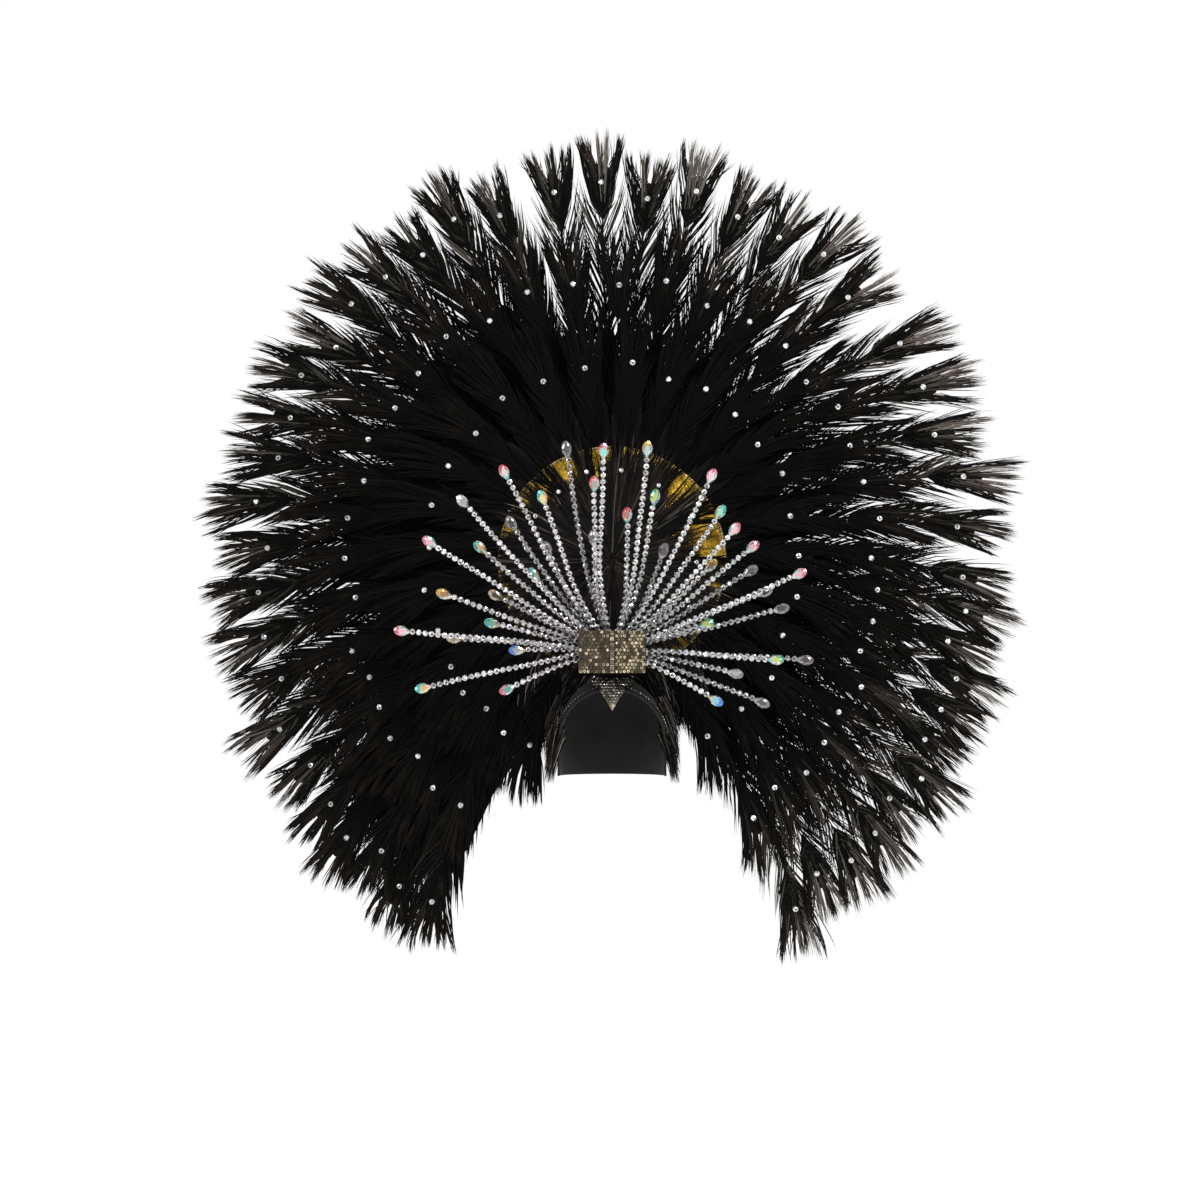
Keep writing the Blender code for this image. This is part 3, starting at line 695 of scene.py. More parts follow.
@dataclass
class Mould:
    """A small thing modelled once, to be copied into joined meshes.

    Attributes:
        corners: Its corners. A strand's z is its share of the length; a stone's z points out of its setting.
        faces: The corners of each face.
    """

    corners: np.ndarray
    faces: list[tuple[int, ...]]

    @classmethod
    def take(cls, item: bpy.types.Object) -> Mould:
        """Read an object's mesh and remove the object.

        Args:
            item: The object.

        Returns:
            The mould.
        """
        settle(item)
        mesh = item.data
        corners = np.array([vert.co for vert in mesh.vertices])
        faces = [tuple(face.vertices) for face in mesh.polygons]
        bpy.data.objects.remove(item, do_unlink=True)
        bpy.data.meshes.remove(mesh)
        return cls(corners, faces)

    def in_order(self) -> Mould:
        """Put the corners and the triangles in an order of their places, where poking leaves the order open.

        Returns:
            The same mould, numbered alike in every run.
        """
        order = np.lexsort(self.corners.round(5).T)
        number = np.argsort(order).tolist()
        faces = []
        for face in self.faces:
            turned = [number[corner] for corner in face]
            first = turned.index(min(turned))
            faces.append(tuple(turned[first:] + turned[:first]))
        poked = iter(sorted(face for face in faces if len(face) == 3))
        return Mould(self.corners[order], [next(poked) if len(face) == 3 else face for face in faces])

    @property
    def levels(self) -> np.ndarray:
        """The heights at which it has corners, lowest first."""
        return np.unique(self.corners[:, 2].round(4))

    @property
    def level_of(self) -> np.ndarray:
        """The number of each corner's level."""
        return np.searchsorted(self.levels, self.corners[:, 2].round(4))

    @property
    def middles(self) -> np.ndarray:
        """The middle of each face."""
        return np.array([self.corners[list(face)].mean(axis=0) for face in self.faces])

    def strands(self, lines: np.ndarray, wide: np.ndarray, thick: np.ndarray) -> np.ndarray:
        """Bend copies of this strand along lines, with their ridges towards the viewer.

        Args:
            lines: A point for each of the levels, as strands by levels by 3.
            wide: Each strand's width.
            thick: Each strand's thickness.

        Returns:
            The corners of each copy.
        """
        ahead = np.empty_like(lines)
        ahead[:, 1:-1] = lines[:, 2:] - lines[:, :-2]
        ahead[:, 0] = lines[:, 1] - lines[:, 0]
        ahead[:, -1] = lines[:, -1] - lines[:, -2]
        ahead = unit(ahead)
        side = unit(np.cross(FRONT, ahead))
        out = np.cross(ahead, side)
        level = self.level_of
        across = self.corners[None, :, 0, None] * wide[:, None, None]
        forward = self.corners[None, :, 1, None] * thick[:, None, None]
        return lines[:, level] + side[:, level] * across + out[:, level] * forward

    def stones(self, middles: np.ndarray, out: np.ndarray, along: np.ndarray, radius: float) -> np.ndarray:
        """Set copies of this stone.

        Args:
            middles: Where each stone's girdle is.
            out: Where each stone's table faces, or where all do.
            along: A direction near each stone's own y axis.
            radius: Their radius.

        Returns:
            The corners of each copy.
        """
        out = unit(np.broadcast_to(out, middles.shape))
        side = unit(np.cross(np.broadcast_to(along, middles.shape), out))
        top = np.cross(out, side)
        x, y, z = (self.corners[None, :, axis, None] for axis in range(3))
        return middles[:, None] + (side[:, None] * x + top[:, None] * y + out[:, None] * z) * radius

    def glitter(
        self, copies: int, palette: Sequence[Colour], painted_light: np.ndarray, rng: np.random.Generator
    ) -> np.ndarray:
        """A colour for each facet of each stone, with painted sparkle: crowns in painted bright and dark reflections,
        tables in darker painted reflections, and plain cups.

        Args:
            copies: How many stones there are.
            palette: The colours that they throw.
            painted_light: How much painted light each stone gets, which sets how bright it is.
            rng: The source of variation.

        Returns:
            Colours, as copies by facets by 3.
        """
        shape = (copies, len(self.faces))
        middles = self.middles
        colours = np.array(palette)[rng.integers(0, len(palette), shape)]
        # Painted sparkle: each crown facet gets its own brightness of painted reflected light.
        light = rng.choice([1.0, 0.92, 0.70, 0.42, 0.10], shape, p=[0.34, 0.24, 0.18, 0.14, 0.10])
        table = (np.hypot(middles[:, 0], middles[:, 1]) < 0.1) & (middles[:, 2] > 0.0)
        # The tables get darker painted reflections.
        light[:, table] = rng.choice([0.95, 0.45, 0.12], (copies, int(table.sum())), p=[0.25, 0.35, 0.40])
        light[:, middles[:, 2] < 0.05] = 0.45
        return colours * (light * painted_light[:, None])[:, :, None]


class Moulds:
    """The strands and stones that everything is made from, each modelled once."""

    pear_shape = 1.72

    def __init__(self) -> None:
        """Model every mould."""
        self.barb = self.strand(3, [(0.36, 0.84), (0.72, 0.64)])
        self.short_barb = self.strand(3, [(0.60, 0.95)])
        self.brush_barb = self.strand(3, [(0.45, 1.0), (0.80, 0.62)])
        self.quill = self.strand(5, [(step / 9.0, 1.0 - step / 15.0) for step in range(1, 9)])
        self.wire = self.strand(6, [(step / 10.0, 1.0) for step in range(1, 10)])
        self.leaf = self.blade()
        self.chaton = self.round_stone(0.30)
        self.pave = self.round_stone(0.10)
        self.tiny = self.tiny_stone()
        self.pear = self.pear_stone()
        self.baguette = self.bar_stone()

    def strand(self, sides: int, rings: Sequence[tuple[float, float]]) -> Mould:
        """A tapered strand of length 1 and width about 1.

        Args:
            sides: How many sides it has.
            rings: The share of the length of each cut, and its width as a share of the root's.

        Returns:
            The mould.
        """
        item = new_primitive("cone", vertices=sides, radius1=0.55, radius2=0.0, depth=1.0, location=(0.0, 0.0, 0.5))
        with editing(item):
            past, past_width = 0.0, 1.0
            for share, width in rings:
                swell = width / (past_width * (1.0 - share) / (1.0 - past))
                bpy.ops.mesh.select_all(action="SELECT")
                bpy.ops.mesh.bisect(plane_co=(0.0, 0.0, share), plane_no=(0.0, 0.0, 1.0))
                resize((swell, swell, 1.0), (0.0, 0.0, share))
                past, past_width = share, width
        return Mould.take(item)

    def blade(self) -> Mould:
        """A flat pointed leaf.

        Returns:
            The mould, with z from -1 to 1 along it.
        """
        item = new_primitive("uv_sphere", segments=8, ring_count=8, radius=1.0)
        with editing(item):
            resize((1.0, 0.05, 1.0))
        return Mould.take(item)

    def round_stone(self, back: float) -> Mould:
        """A round stone in its cup, with two rows of crown facets round a table.

        Args:
            back: How deep its back is.

        Returns:
            The mould.
        """
        item = new_primitive("cylinder", vertices=8, radius=1.0, depth=0.30)
        with editing(item):
            choose(lambda middle, normal: normal.z > 0.9)
            bpy.ops.mesh.inset(thickness=0.22, depth=0.24)
            bpy.ops.mesh.inset(thickness=0.30, depth=0.14)
            choose(lambda middle, normal: normal.z < -0.9)
            bpy.ops.mesh.inset(thickness=0.34, depth=back)
        return Mould.take(item)

    def tiny_stone(self) -> Mould:
        """A stone too small for more than one row of facets.

        Returns:
            The mould.
        """
        item = new_primitive("cylinder", vertices=6, radius=1.0, depth=0.30)
        with editing(item):
            choose(lambda middle, normal: normal.z > 0.9)
            bpy.ops.mesh.inset(thickness=0.45, depth=0.45)
        return Mould.take(item)

    def pear_stone(self) -> Mould:
        """A pear cut stone, wide end up along y, with poked crown facets round a table.

        Returns:
            The mould.
        """
        item = new_primitive("cylinder", vertices=14, radius=1.0, depth=0.22)
        with editing(item):
            resize((1.0, self.pear_shape, 1.0))
            for edge, narrower in ((0.30, 0.90), (-0.40, 0.88), (-1.0, 0.80), (-1.50, 0.70)):
                choose(lambda middle, normal, edge=edge: middle.y < edge, "VERT")
                resize((narrower, 1.0, 1.0))
            for upward, step, narrower in ((1.0, 0.26, 0.78), (1.0, 0.12, 0.66), (-1.0, -0.34, 0.55)):
                choose(lambda middle, normal, upward=upward: normal.z * upward > 0.99)
                extrude((0.0, 0.0, step))
                resize((narrower, narrower, 1.0), (0.0, 0.15, 0.0))
            choose(lambda middle, normal: 0.2 < abs(normal.z) < 0.97)
            bpy.ops.mesh.poke()
        return Mould.take(item).in_order()

    def bar_stone(self) -> Mould:
        """A bar cut stone.

        Returns:
            The mould, long along x.
        """
        item = new_primitive("cube", size=2.0)
        with editing(item):
            resize((1.0, 0.40, 0.30))
            choose(lambda middle, normal: normal.z > 0.9)
            bpy.ops.mesh.inset(thickness=0.22, depth=0.20)
        return Mould.take(item)


class Heap:
    """Copies of moulds, gathered for one joined mesh with one colour attribute."""

    def __init__(self, attribute: str, domain: str) -> None:
        """Start an empty heap.

        Args:
            attribute: The colour attribute's name.
            domain: POINT for a colour on each corner, CORNER for a colour on each face.
        """
        self.attribute = attribute
        self.domain = domain
        self.corners: list[np.ndarray] = []
        self.loops: list[np.ndarray] = []
        self.totals: list[np.ndarray] = []
        self.colours: list[np.ndarray] = []
        self.count = 0

    @classmethod
    def of_strands(cls) -> Heap:
        """A heap whose colours are what the dye reads on each strand."""
        return cls("traits", "POINT")

    @classmethod
    def of_stones(cls) -> Heap:
        """A heap whose colours are those of facets, painted sparkle included."""
        return cls("facet", "CORNER")

    def add(self, mould: Mould, places: np.ndarray, colours: np.ndarray) -> None:
        """Add copies of one mould.

        Args:
            mould: What is copied.
            places: The corners of each copy, as copies by corners by 3.
            colours: Three numbers for each copy, or for each copy's corner or face.
        """
        copies, size = places.shape[:2]
        totals = np.array([len(face) for face in mould.faces])
        flat = np.concatenate([np.array(face) for face in mould.faces])
        starts = self.count + np.arange(copies)[:, None] * size
        self.loops.append((flat[None, :] + starts).ravel())
        self.totals.append(np.tile(totals, copies))
        self.corners.append(places.reshape(-1, 3))
        self.count += copies * size
        wanted = size if self.domain == "POINT" else len(totals)
        if colours.ndim == 2:
            colours = np.repeat(colours[:, None, :], wanted, axis=1)
        if self.domain == "CORNER":
            colours = np.repeat(colours, totals, axis=1)
        self.colours.append(colours.reshape(-1, 3))

    def make(self) -> bpy.types.Object:
        """The joined object.

        Returns:
            The object, linked to the scene.
        """
        mesh = bpy.data.meshes.new("heap")
        corners = np.concatenate(self.corners)
        loops = np.concatenate(self.loops).astype(np.int32)
        totals = np.concatenate(self.totals)
        mesh.vertices.add(len(corners))
        mesh.vertices.foreach_set("co", corners.astype(np.float32).ravel())
        mesh.loops.add(len(loops))
        mesh.polygons.add(len(totals))
        mesh.polygons.foreach_set("loop_start", (np.cumsum(totals) - totals).astype(np.int32))
        mesh.polygons.foreach_set("vertices", loops)
        mesh.update(calc_edges=True)
        colours = np.concatenate(self.colours)
        layer = mesh.attributes.new(self.attribute, "FLOAT_COLOR", self.domain)
        packed = np.concatenate([colours, np.ones((len(colours), 1))], axis=1).astype(np.float32)
        layer.data.foreach_set("color", packed.ravel())
        mesh.shade_flat()
        item = bpy.data.objects.new("heap", mesh)
        bpy.context.scene.collection.objects.link(item)
        return item


@dataclass
class Maker:
    """What every maker of pieces works with."""

    moulds: Moulds
    wardrobe: Wardrobe

    def stud(
        self, name: str, slot: Slot, mould: Mould, places: np.ndarray, palette: Sequence[Colour], painted_light: np.ndarray,
        rng: np.random.Generator, *replaced: str,
    ) -> None:
        """Make one piece of set stones.

        Args:
            name: Its name.
            slot: The record's slot.
            mould: The stone.
            places: The corners of each copy.
            palette: The colours that the stones throw.
            painted_light: How much painted light each stone gets, which sets how bright it is.
            rng: The source of variation.
            *replaced: The nodes that it stands for.
        """
        heap = Heap.of_stones()
        heap.add(mould, places, mould.glitter(len(places), palette, painted_light, rng))
        self.wardrobe.dress(heap.make(), name, slot, *replaced)


# The head, the cap and what is set on it


@dataclass
class Head:
    """The half ellipsoid over straight walls that the cap is built on, with its crown at z = 0."""

    half_width: float = 0.074
    half_depth: float = 0.093
    crown: float = 0.085

    def size(self, offset: float = 0.0) -> np.ndarray:
        """Half its width, half its depth and its crown's height, grown by an offset."""
        return np.array([self.half_width, self.half_depth, self.crown]) + offset

    def outward(self, points: np.ndarray, offset: float = 0.0) -> np.ndarray:
        """The directions out of the head, grown by an offset, at points on it."""
        return unit((points + UP * self.crown) / self.size(offset) ** 2)

    def front(self, across: np.ndarray, up: np.ndarray, offset: float) -> np.ndarray:
        """Points on the front of the head grown by an offset.

        Args:
            across: The points' x.
            up: The points' z.
            offset: How far out of the head they lie.

        Returns:
            The points.
        """
        size = self.size(offset)
        left = 1.0 - (across / size[0]) ** 2 - ((up + self.crown) / size[2]) ** 2
        return rows(across, -size[1] * np.sqrt(np.maximum(left, 0.0)), up)


@dataclass
class Cap(Maker):
    """The fabric covered cap, with its front stones and brow crest.

    Attributes:
        wall: How thick it is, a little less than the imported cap, so that nothing set on it touches.
        drop: How far down its walls reach.
        face_edge: The front edge of its side, as rows of (z, y).
        segments: How many faces go round it.
        wall_rows: How many rows of faces its straight walls have.
        crease: The angle from which an edge shows.
        trim_inset: How far the stones stand back from the front edge.
        trim_offset: How far they stand out of the head.
        trim_drop: How far down the row reaches.
        trim_spread: How the row of stones is crowded at the top of the arch.
        trim_half_pitch: Half the distance between the two rows.
        crest_offset: How far the crest's stones stand out of the head.
        crest_top: The z of its highest point.
        crest_half: Half the crest's outline, as shares of its width and its height.
    """

    head: Head = field(default_factory=Head)
    wall: float = 0.0024
    drop: float = 0.137
    face_edge: tuple[tuple[float, float], ...] = (
        (-0.0164, -0.0558), (-0.0480, -0.0363), (-0.0877, -0.0177), (-0.137, -0.0121),
    )
    segments: int = 64
    wall_rows: int = 4
    crease: float = math.radians(40.0)
    trim_count: int = 48
    trim_inset: float = 0.004
    trim_offset: float = 0.0058
    trim_drop: float = 0.075
    trim_spread: float = 1.6
    trim_stone: float = 0.0016
    trim_half_pitch: float = 0.0023
    crest_offset: float = 0.0128
    crest_width: float = 0.066
    crest_height: float = 0.048
    crest_top: float = 0.004
    crest_half: tuple[tuple[float, float], ...] = (
        (0.25, 0.02), (0.42, 0.08), (0.50, 0.19), (0.40, 0.28), (0.26, 0.34), (0.25, 0.46), (0.13, 0.70),
    )
    crest_stone: float = 0.0021

    def edge_forward(self, height: np.ndarray) -> np.ndarray:
        """The y of the cap's front edge at a height."""
        heights = [-row[0] for row in self.face_edge]
        return np.interp(-height, heights, [row[1] for row in self.face_edge])

    def shell(self) -> None:
        """The cap itself: a half sphere, drawn down to straight walls, opened over the face and given its wall."""
        head = self.head
        item = new_primitive("uv_sphere", segments=self.segments, ring_count=self.segments // 2, radius=1.0)
        with editing(item):
            bpy.ops.mesh.bisect(plane_co=(0, 0, 0), plane_no=(0, 0, 1), clear_inner=True)
            bpy.ops.mesh.select_all(action="SELECT")
            resize(tuple(head.size()))
            for _ in range(self.wall_rows):
                low = min(vert.co.z for vert in bmesh.from_edit_mesh(item.data).verts)
                choose(lambda middle, normal, low=low: middle.z < low + 1e-5, "VERT")
                extrude((0.0, 0.0, (head.crown - self.drop) / self.wall_rows))
            bpy.ops.mesh.select_all(action="SELECT")
            bpy.ops.transform.translate(value=(0.0, 0.0, -head.crown))
            face_outwards()
        wall = item.modifiers.new("wall", "SOLIDIFY")
        wall.thickness = self.wall
        wall.offset = 1.0
        cutter = self.face_cutter()
        opening = item.modifiers.new("opening", "BOOLEAN")
        opening.object = cutter
        opening.operation = "DIFFERENCE"
        pick(item)
        for modifier in ("wall", "opening"):
            bpy.ops.object.modifier_apply(modifier=modifier)
        bpy.data.objects.remove(cutter, do_unlink=True)
        bpy.ops.object.shade_smooth_by_angle(angle=self.crease)
        self.wardrobe.dress(item, "cap_cover", Slot.CAP, "cap_shell")

    def face_cutter(self) -> bpy.types.Object:
        """The prism that opens the cap over the face.

        Returns:
            The prism, for a Boolean.
        """
        width = self.head.half_width
        far = -3.0 * self.head.half_depth
        edge = [(forward, up) for up, forward in self.face_edge]
        outline = [(far, edge[0][1]), *edge, (edge[-1][0], -2.0 * self.drop), (far, -2.0 * self.drop)]
        item = new_primitive("circle", vertices=len(outline), fill_type="NGON")
        for vert, (forward, up) in zip(item.data.vertices, outline):
            vert.co = (-2.0 * width, forward, up)
        with editing(item):
            extrude((4.0 * width, 0.0, 0.0))
            face_outwards()
        return item

    def trim_line(self) -> np.ndarray:
        """The line that the stones at the front edge follow, from left to right.

        Returns:
            Evenly spaced points.
        """
        crown = self.head.crown
        size = self.head.size(self.trim_offset)
        top_forward = self.edge_forward(np.array([0.0]))[0] + self.trim_inset
        top = size[2] * math.sqrt(1.0 - (top_forward / size[1]) ** 2) - crown
        share = np.linspace(-1.0, 1.0, 801)
        up = top - (top + self.trim_drop) * np.abs(share) ** self.trim_spread
        forward = self.edge_forward(up) + self.trim_inset
        left = 1.0 - (forward / size[1]) ** 2 - ((up + crown) / size[2]) ** 2
        line = rows(np.copysign(size[0] * np.sqrt(np.maximum(left, 0.0)), share), forward, up)
        length = np.linalg.norm(np.diff(line, axis=0), axis=1).sum()
        return resample(line, np.linspace(0.0, length, self.trim_count))

    def trim(self) -> None:
        """Two rows of small stones along the front edge, duller on the side away from the light."""
        rng = np.random.default_rng(Seed.EDGE)
        middle = self.trim_line()
        line = np.concatenate([middle + shift * FRONT * self.trim_half_pitch for shift in (1.0, -1.0)])
        along = np.tile(np.gradient(middle, axis=0), (2, 1))
        # Painted shade on the side away from the light, and painted sparkle from stone to stone.
        painted_light = np.interp(line[:, 0], [-0.06, 0.0, 0.025, 0.045, 0.06], [0.10, 0.05, 0.20, 0.80, 0.60])
        painted_light = painted_light * rng.choice([1.0, 0.45, 0.12], len(line))
        mould = self.moulds.pave
        places = mould.stones(line, self.head.outward(line), along, self.trim_stone)
        self.stud("edge_stones", Slot.CLEAR, mould, places, Glass.EDGE.value, painted_light, rng, "cap_edge_trim")

    def crest_outline(self) -> np.ndarray:
        """The corners of the brow crest, seen from the front.

        Returns:
            Corners by 2.
        """
        half = [(self.crest_width * a, self.crest_top - self.crest_height * d) for a, d in self.crest_half]
        point = (0.0, self.crest_top - self.crest_height)
        return np.array([(0.0, self.crest_top), *half, point, *[(-a, d) for a, d in reversed(half)]])

    def crest(self) -> None:
        """The stones of the brow crest, set in rows on its plate."""
        rng = np.random.default_rng(Seed.CREST)
        pitch = 2.1 * self.crest_stone
        column, row = np.meshgrid(np.arange(-8, 9), np.arange(13), indexing="ij")
        spots = rows((column + row % 2 / 2.0) * pitch, self.crest_top - row * pitch * 0.88).reshape(-1, 2)
        spots = spots[inside(spots, self.crest_outline(), self.crest_stone * 0.6)]
        points = self.head.front(spots[:, 0], spots[:, 1], self.crest_offset)
        # Painted sparkle: each stone gets its own brightness of painted light.
        painted_light = rng.choice([1.0, 0.55, 0.25, 0.08], len(points), p=[0.22, 0.26, 0.30, 0.22])
        mould = self.moulds.pave
        places = mould.stones(points, self.head.outward(points, self.crest_offset), UP, self.crest_stone)
        self.stud("brow_crest_stones", Slot.CLEAR, mould, places, Glass.CREST.value, painted_light, rng)

    def build(self) -> None:
        """Build every piece of the cap."""
        self.shell()
        self.trim()
        self.crest()


# The spray


@dataclass
class Stalk:
    """One stalk: its angle in degrees, its length, its row from the front, its flash and how bright it is, as painted
    light that is lowest on the shaded rear rows.
    """

    angle: float
    length: float
    row: int
    flash: Flash
    painted_light: float


def stalks(lines: Sequence[tuple[float, float, int, str, float]]) -> list[Stalk]:
    """Stalks from rows of their numbers, with the name of the flash."""
    return [Stalk(angle, length, row, Flash[flash], painted_light) for angle, length, row, flash, painted_light in lines]


# The last number of each row is the stalk's painted light: the stalks of the rear rows get painted shade.
LEFT_STALKS = (
    (88.1, 0.286, 0, "PINK", 1.0), (90.9, 0.242, 1, "RED", 0.95), (91.8, 0.168, 2, "DIM", 0.75),
    (98.6, 0.295, 3, "DIM", 0.5), (109.6, 0.235, 0, "CYAN", 1.0), (116.2, 0.169, 2, "DIM", 0.6),
    (117.4, 0.289, 1, "RED", 0.95), (124.0, 0.225, 3, "DIM", 0.5), (129.7, 0.149, 2, "CYAN", 0.6),
    (131.9, 0.287, 0, "CLEAR", 1.0), (138.5, 0.227, 1, "CYAN", 0.85), (146.9, 0.286, 0, "PINK", 1.0),
    (151.5, 0.172, 3, "CHAMPAGNE", 0.6), (159.7, 0.237, 1, "GOLD", 0.95), (165.4, 0.162, 2, "CYAN", 0.8),
    (174.1, 0.281, 0, "PINK", 1.0), (175.1, 0.211, 3, "CHAMPAGNE", 0.75), (179.7, 0.123, 2, "BLUE", 0.8),
    (192.0, 0.256, 0, "CYAN", 1.0), (203.3, 0.147, 1, "PINK", 0.95),
)
RIGHT_STALKS = (
    (90.1, 0.199, 1, "RED", 0.95), (84.4, 0.290, 0, "GOLD", 1.0), (79.8, 0.228, 2, "GREEN", 0.85),
    (70.0, 0.159, 3, "DIM", 0.5), (64.4, 0.278, 0, "PINK", 1.0), (56.2, 0.242, 1, "CYAN", 0.9),
    (48.7, 0.234, 0, "PINK", 1.0), (45.5, 0.177, 2, "GOLD", 0.7), (39.7, 0.236, 1, "PINK", 0.9),
    (32.8, 0.216, 3, "DIM", 0.5), (24.2, 0.270, 0, "PINK", 1.0), (23.1, 0.219, 2, "DIM", 0.65),
    (18.7, 0.127, 1, "GREEN", 0.8), (15.1, 0.234, 3, "DIM", 0.55), (-3.1, 0.260, 3, "DIM", 0.5),
    (-3.4, 0.216, 0, "GREEN", 1.0), (-12.0, 0.165, 2, "DIM", 0.7), (-21.2, 0.213, 3, "DIM", 0.55),
    (-29.4, 0.152, 1, "BLUE", 0.95),
)


@dataclass
class Spray(Maker):
    """The two half rounds of stone covered stalks, and the panels in front of their roots.

    Attributes:
        front: The y of the front of the block that the stalks are rooted in.
        leans: How many degrees the stalks of each row lean forward.
        lift: How far a level stalk bows upward, as a share of its length.
        first_row: How far behind that front the first row of stalks is rooted.
        stone_pitch: The space of one round stone on a stalk.
        gather: How far the stones at the root draw in to the middle.
        sway: How far a string of stones waves to either side, and sway_length the distance of that wave.
        panel_turn: How far each panel faces outward.
        panel_columns: How many stones a row of a panel has.
    """

    hub_spacing: float = 0.042
    hub_radius: float = 0.020
    hub_height: float = 0.039
    front: float = -0.077
    first_row: float = 0.005
    row_pitch: float = 0.009
    leans: tuple[float, ...] = (16.0, 11.0, 6.0, 1.0)
    radius: float = 0.004
    sheath_start: float = 0.022
    lift: float = 0.025
    pear_length: float = 0.025
    stone_pitch: float = 0.0091
    stone_radius: float = 0.0041
    wire_radius: float = 0.0012
    gather: float = 0.017
    sway: float = 0.0008
    sway_length: float = 0.03
    panel_turn: float = math.radians(14.0)
    panel_columns: int = 8

    def line(self, across: float, stalk: Stalk) -> tuple[np.ndarray, np.ndarray]:
        """Where one stalk runs.

        Args:
            across: The hub's x.
            stalk: The stalk.

        Returns:
            The points from its root to the neck of its pear stone, and the direction of its tip.
        """
        hub = np.array([across, self.front + self.first_row + stalk.row * self.row_pitch, self.hub_height])
        turn = math.radians(stalk.angle)
        lean = math.radians(self.leans[stalk.row])
        flat = np.array([math.cos(turn), 0.0, math.sin(turn)])
        tip = hub + flat * stalk.length + FRONT * stalk.length * math.tan(lean)
        root = hub + flat * (self.hub_radius + self.radius / 2.0)
        along = unit(tip - root)
        neck = tip - along * self.pear_length * 0.9
        run = np.linalg.norm(neck - root)
        shares = np.array([0.0, self.sheath_start / run, 1.0 - self.radius / run, 1.0])
        lift = self.lift * stalk.length * abs(flat[0]) * np.sin(np.pi * shares)
        return root + (neck - root) * shares[:, None] + UP * lift[:, None], along

    def sheath(self, heap: Heap, points: np.ndarray, stalk: Stalk, rng: np.random.Generator) -> None:
        """The round stones and the wire of one stalk.

        Args:
            heap: Where they go.
            points: The stalk's line.
            stalk: The stalk.
            rng: The source of variation.
        """
        stone, wire = self.moulds.chaton, self.moulds.wire
        length = float(np.linalg.norm(np.diff(points, axis=0), axis=1).sum())
        count = int(length / self.stone_pitch)
        shares = (np.arange(count) + 0.5) / count
        inward = self.gather * math.copysign(1.0, -points[0, 0]) * abs(points[-1] - points[0])[2] / length
        along = unit(points[-1] - points[0])
        sway = self.sway * np.sin(shares * length / self.sway_length + rng.uniform(0.0, 6.0))
        middles = resample(points, shares * length) + unit(np.cross(FRONT, along)) * sway[:, None]
        run = resample(points, wire.levels * length)
        for spots, places in ((middles, shares), (run, wire.levels)):
            spots[:, 0] += inward * np.maximum(1.0 - 2.0 * places, 0.0) ** 2
        tilt = unit(unit(FRONT - along * (FRONT @ along)) + rng.normal(0.0, 0.10, (count, 3)))
        # Painted shade that darkens the stones towards the crowded root, and painted sparkle from stone to stone.
        painted_light = stalk.painted_light * rng.uniform(0.60, 1.0, count) * np.interp(shares, [0.0, 0.55], [0.40, 0.95])
        palette = (Glass.STALK_LEFT if points[0, 0] < 0.0 else Glass.STALK_RIGHT).value
        places = stone.stones(middles, tilt, along, self.stone_radius)
        heap.add(stone, places, stone.glitter(count, palette, painted_light, rng))
        width = np.array([2.0 * self.wire_radius])
        heap.add(wire, wire.strands(run[None], width, width), np.full((1, 3), 0.35))

    def pear(self, heap: Heap, neck: np.ndarray, along: np.ndarray, stalk: Stalk, rng: np.random.Generator) -> None:
        """The pear cut stone at the end of one stalk, with its colours in bands across it and painted sparkle on its
        facets.

        Args:
            heap: Where it goes.
            neck: Where the wire meets it.
            along: The stalk's direction.
            stalk: The stalk.
            rng: The source of variation.
        """
        mould = self.moulds.pear
        half = self.pear_length / 2.0
        middle = neck + along * half * 0.8
        out = unit(FRONT - along * (FRONT @ along))
        palette = np.array(stalk.flash.value)
        turn = rng.uniform(-0.9, 0.9)
        reach = mould.middles @ np.array([math.sin(turn), math.cos(turn), 0.0])
        band = (1.2 - reach) / 2.4 * len(palette) + rng.uniform(-0.9, 0.9, len(reach))
        # Painted sparkle on each facet, times the stalk's painted light; the back facets are painted darker.
        light = rng.choice([1.0, 0.85, 0.55, 0.2], len(reach), p=[0.5, 0.25, 0.15, 0.10]) * stalk.painted_light
        colours = palette[np.clip(band, 0, len(palette) - 1).astype(int)] * light[:, None]
        colours[mould.middles[:, 2] < 0.0] *= 0.5
        places = mould.stones(middle[None], out[None], along[None], half / self.moulds.pear_shape)
        heap.add(mould, places, colours[None])

    def panel(self, name: str, side: float, seed: int, painted_light_shares: Sequence[float]) -> None:
        """Rows of small round stones on one of the two panels.

        Args:
            name: left or right.
            side: -1 for left and 1 for right.
            seed: What the variation starts from.
            painted_light_shares: The share of stones at each level of painted light, from bright to dark.
        """
        low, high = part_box(f"pave_panel_{name}")
        inner = min(abs(low.x), abs(high.x))
        radius = (high.x - low.x) / (2 * self.panel_columns)
        count = int((high.z - low.z) / (radius * 1.78))
        spots = np.array(
            [
                (inner + (2 * column + 1 + row % 2) * radius, low.z + (row + 0.5) * (high.z - low.z) / count)
                for row in range(count)
                for column in range(self.panel_columns - row % 2)
            ]
        )
        face = low.y + (spots[:, 0] - inner) * math.tan(self.panel_turn)
        out = np.array([side * math.sin(self.panel_turn), -math.cos(self.panel_turn), 0.0])
        rng = np.random.default_rng(seed)
        # Painted sparkle and shade from stone to stone.
        painted_light = rng.choice([1.0, 0.55, 0.22, 0.07], len(spots), p=painted_light_shares)
        mould = self.moulds.pave
        places = mould.stones(rows(side * spots[:, 0], face, spots[:, 1]), out, UP, radius * 0.93)
        self.stud(f"pave_stones_{name}", Slot.CHAMPAGNE, mould, places, Glass.PANEL.value, painted_light, rng)

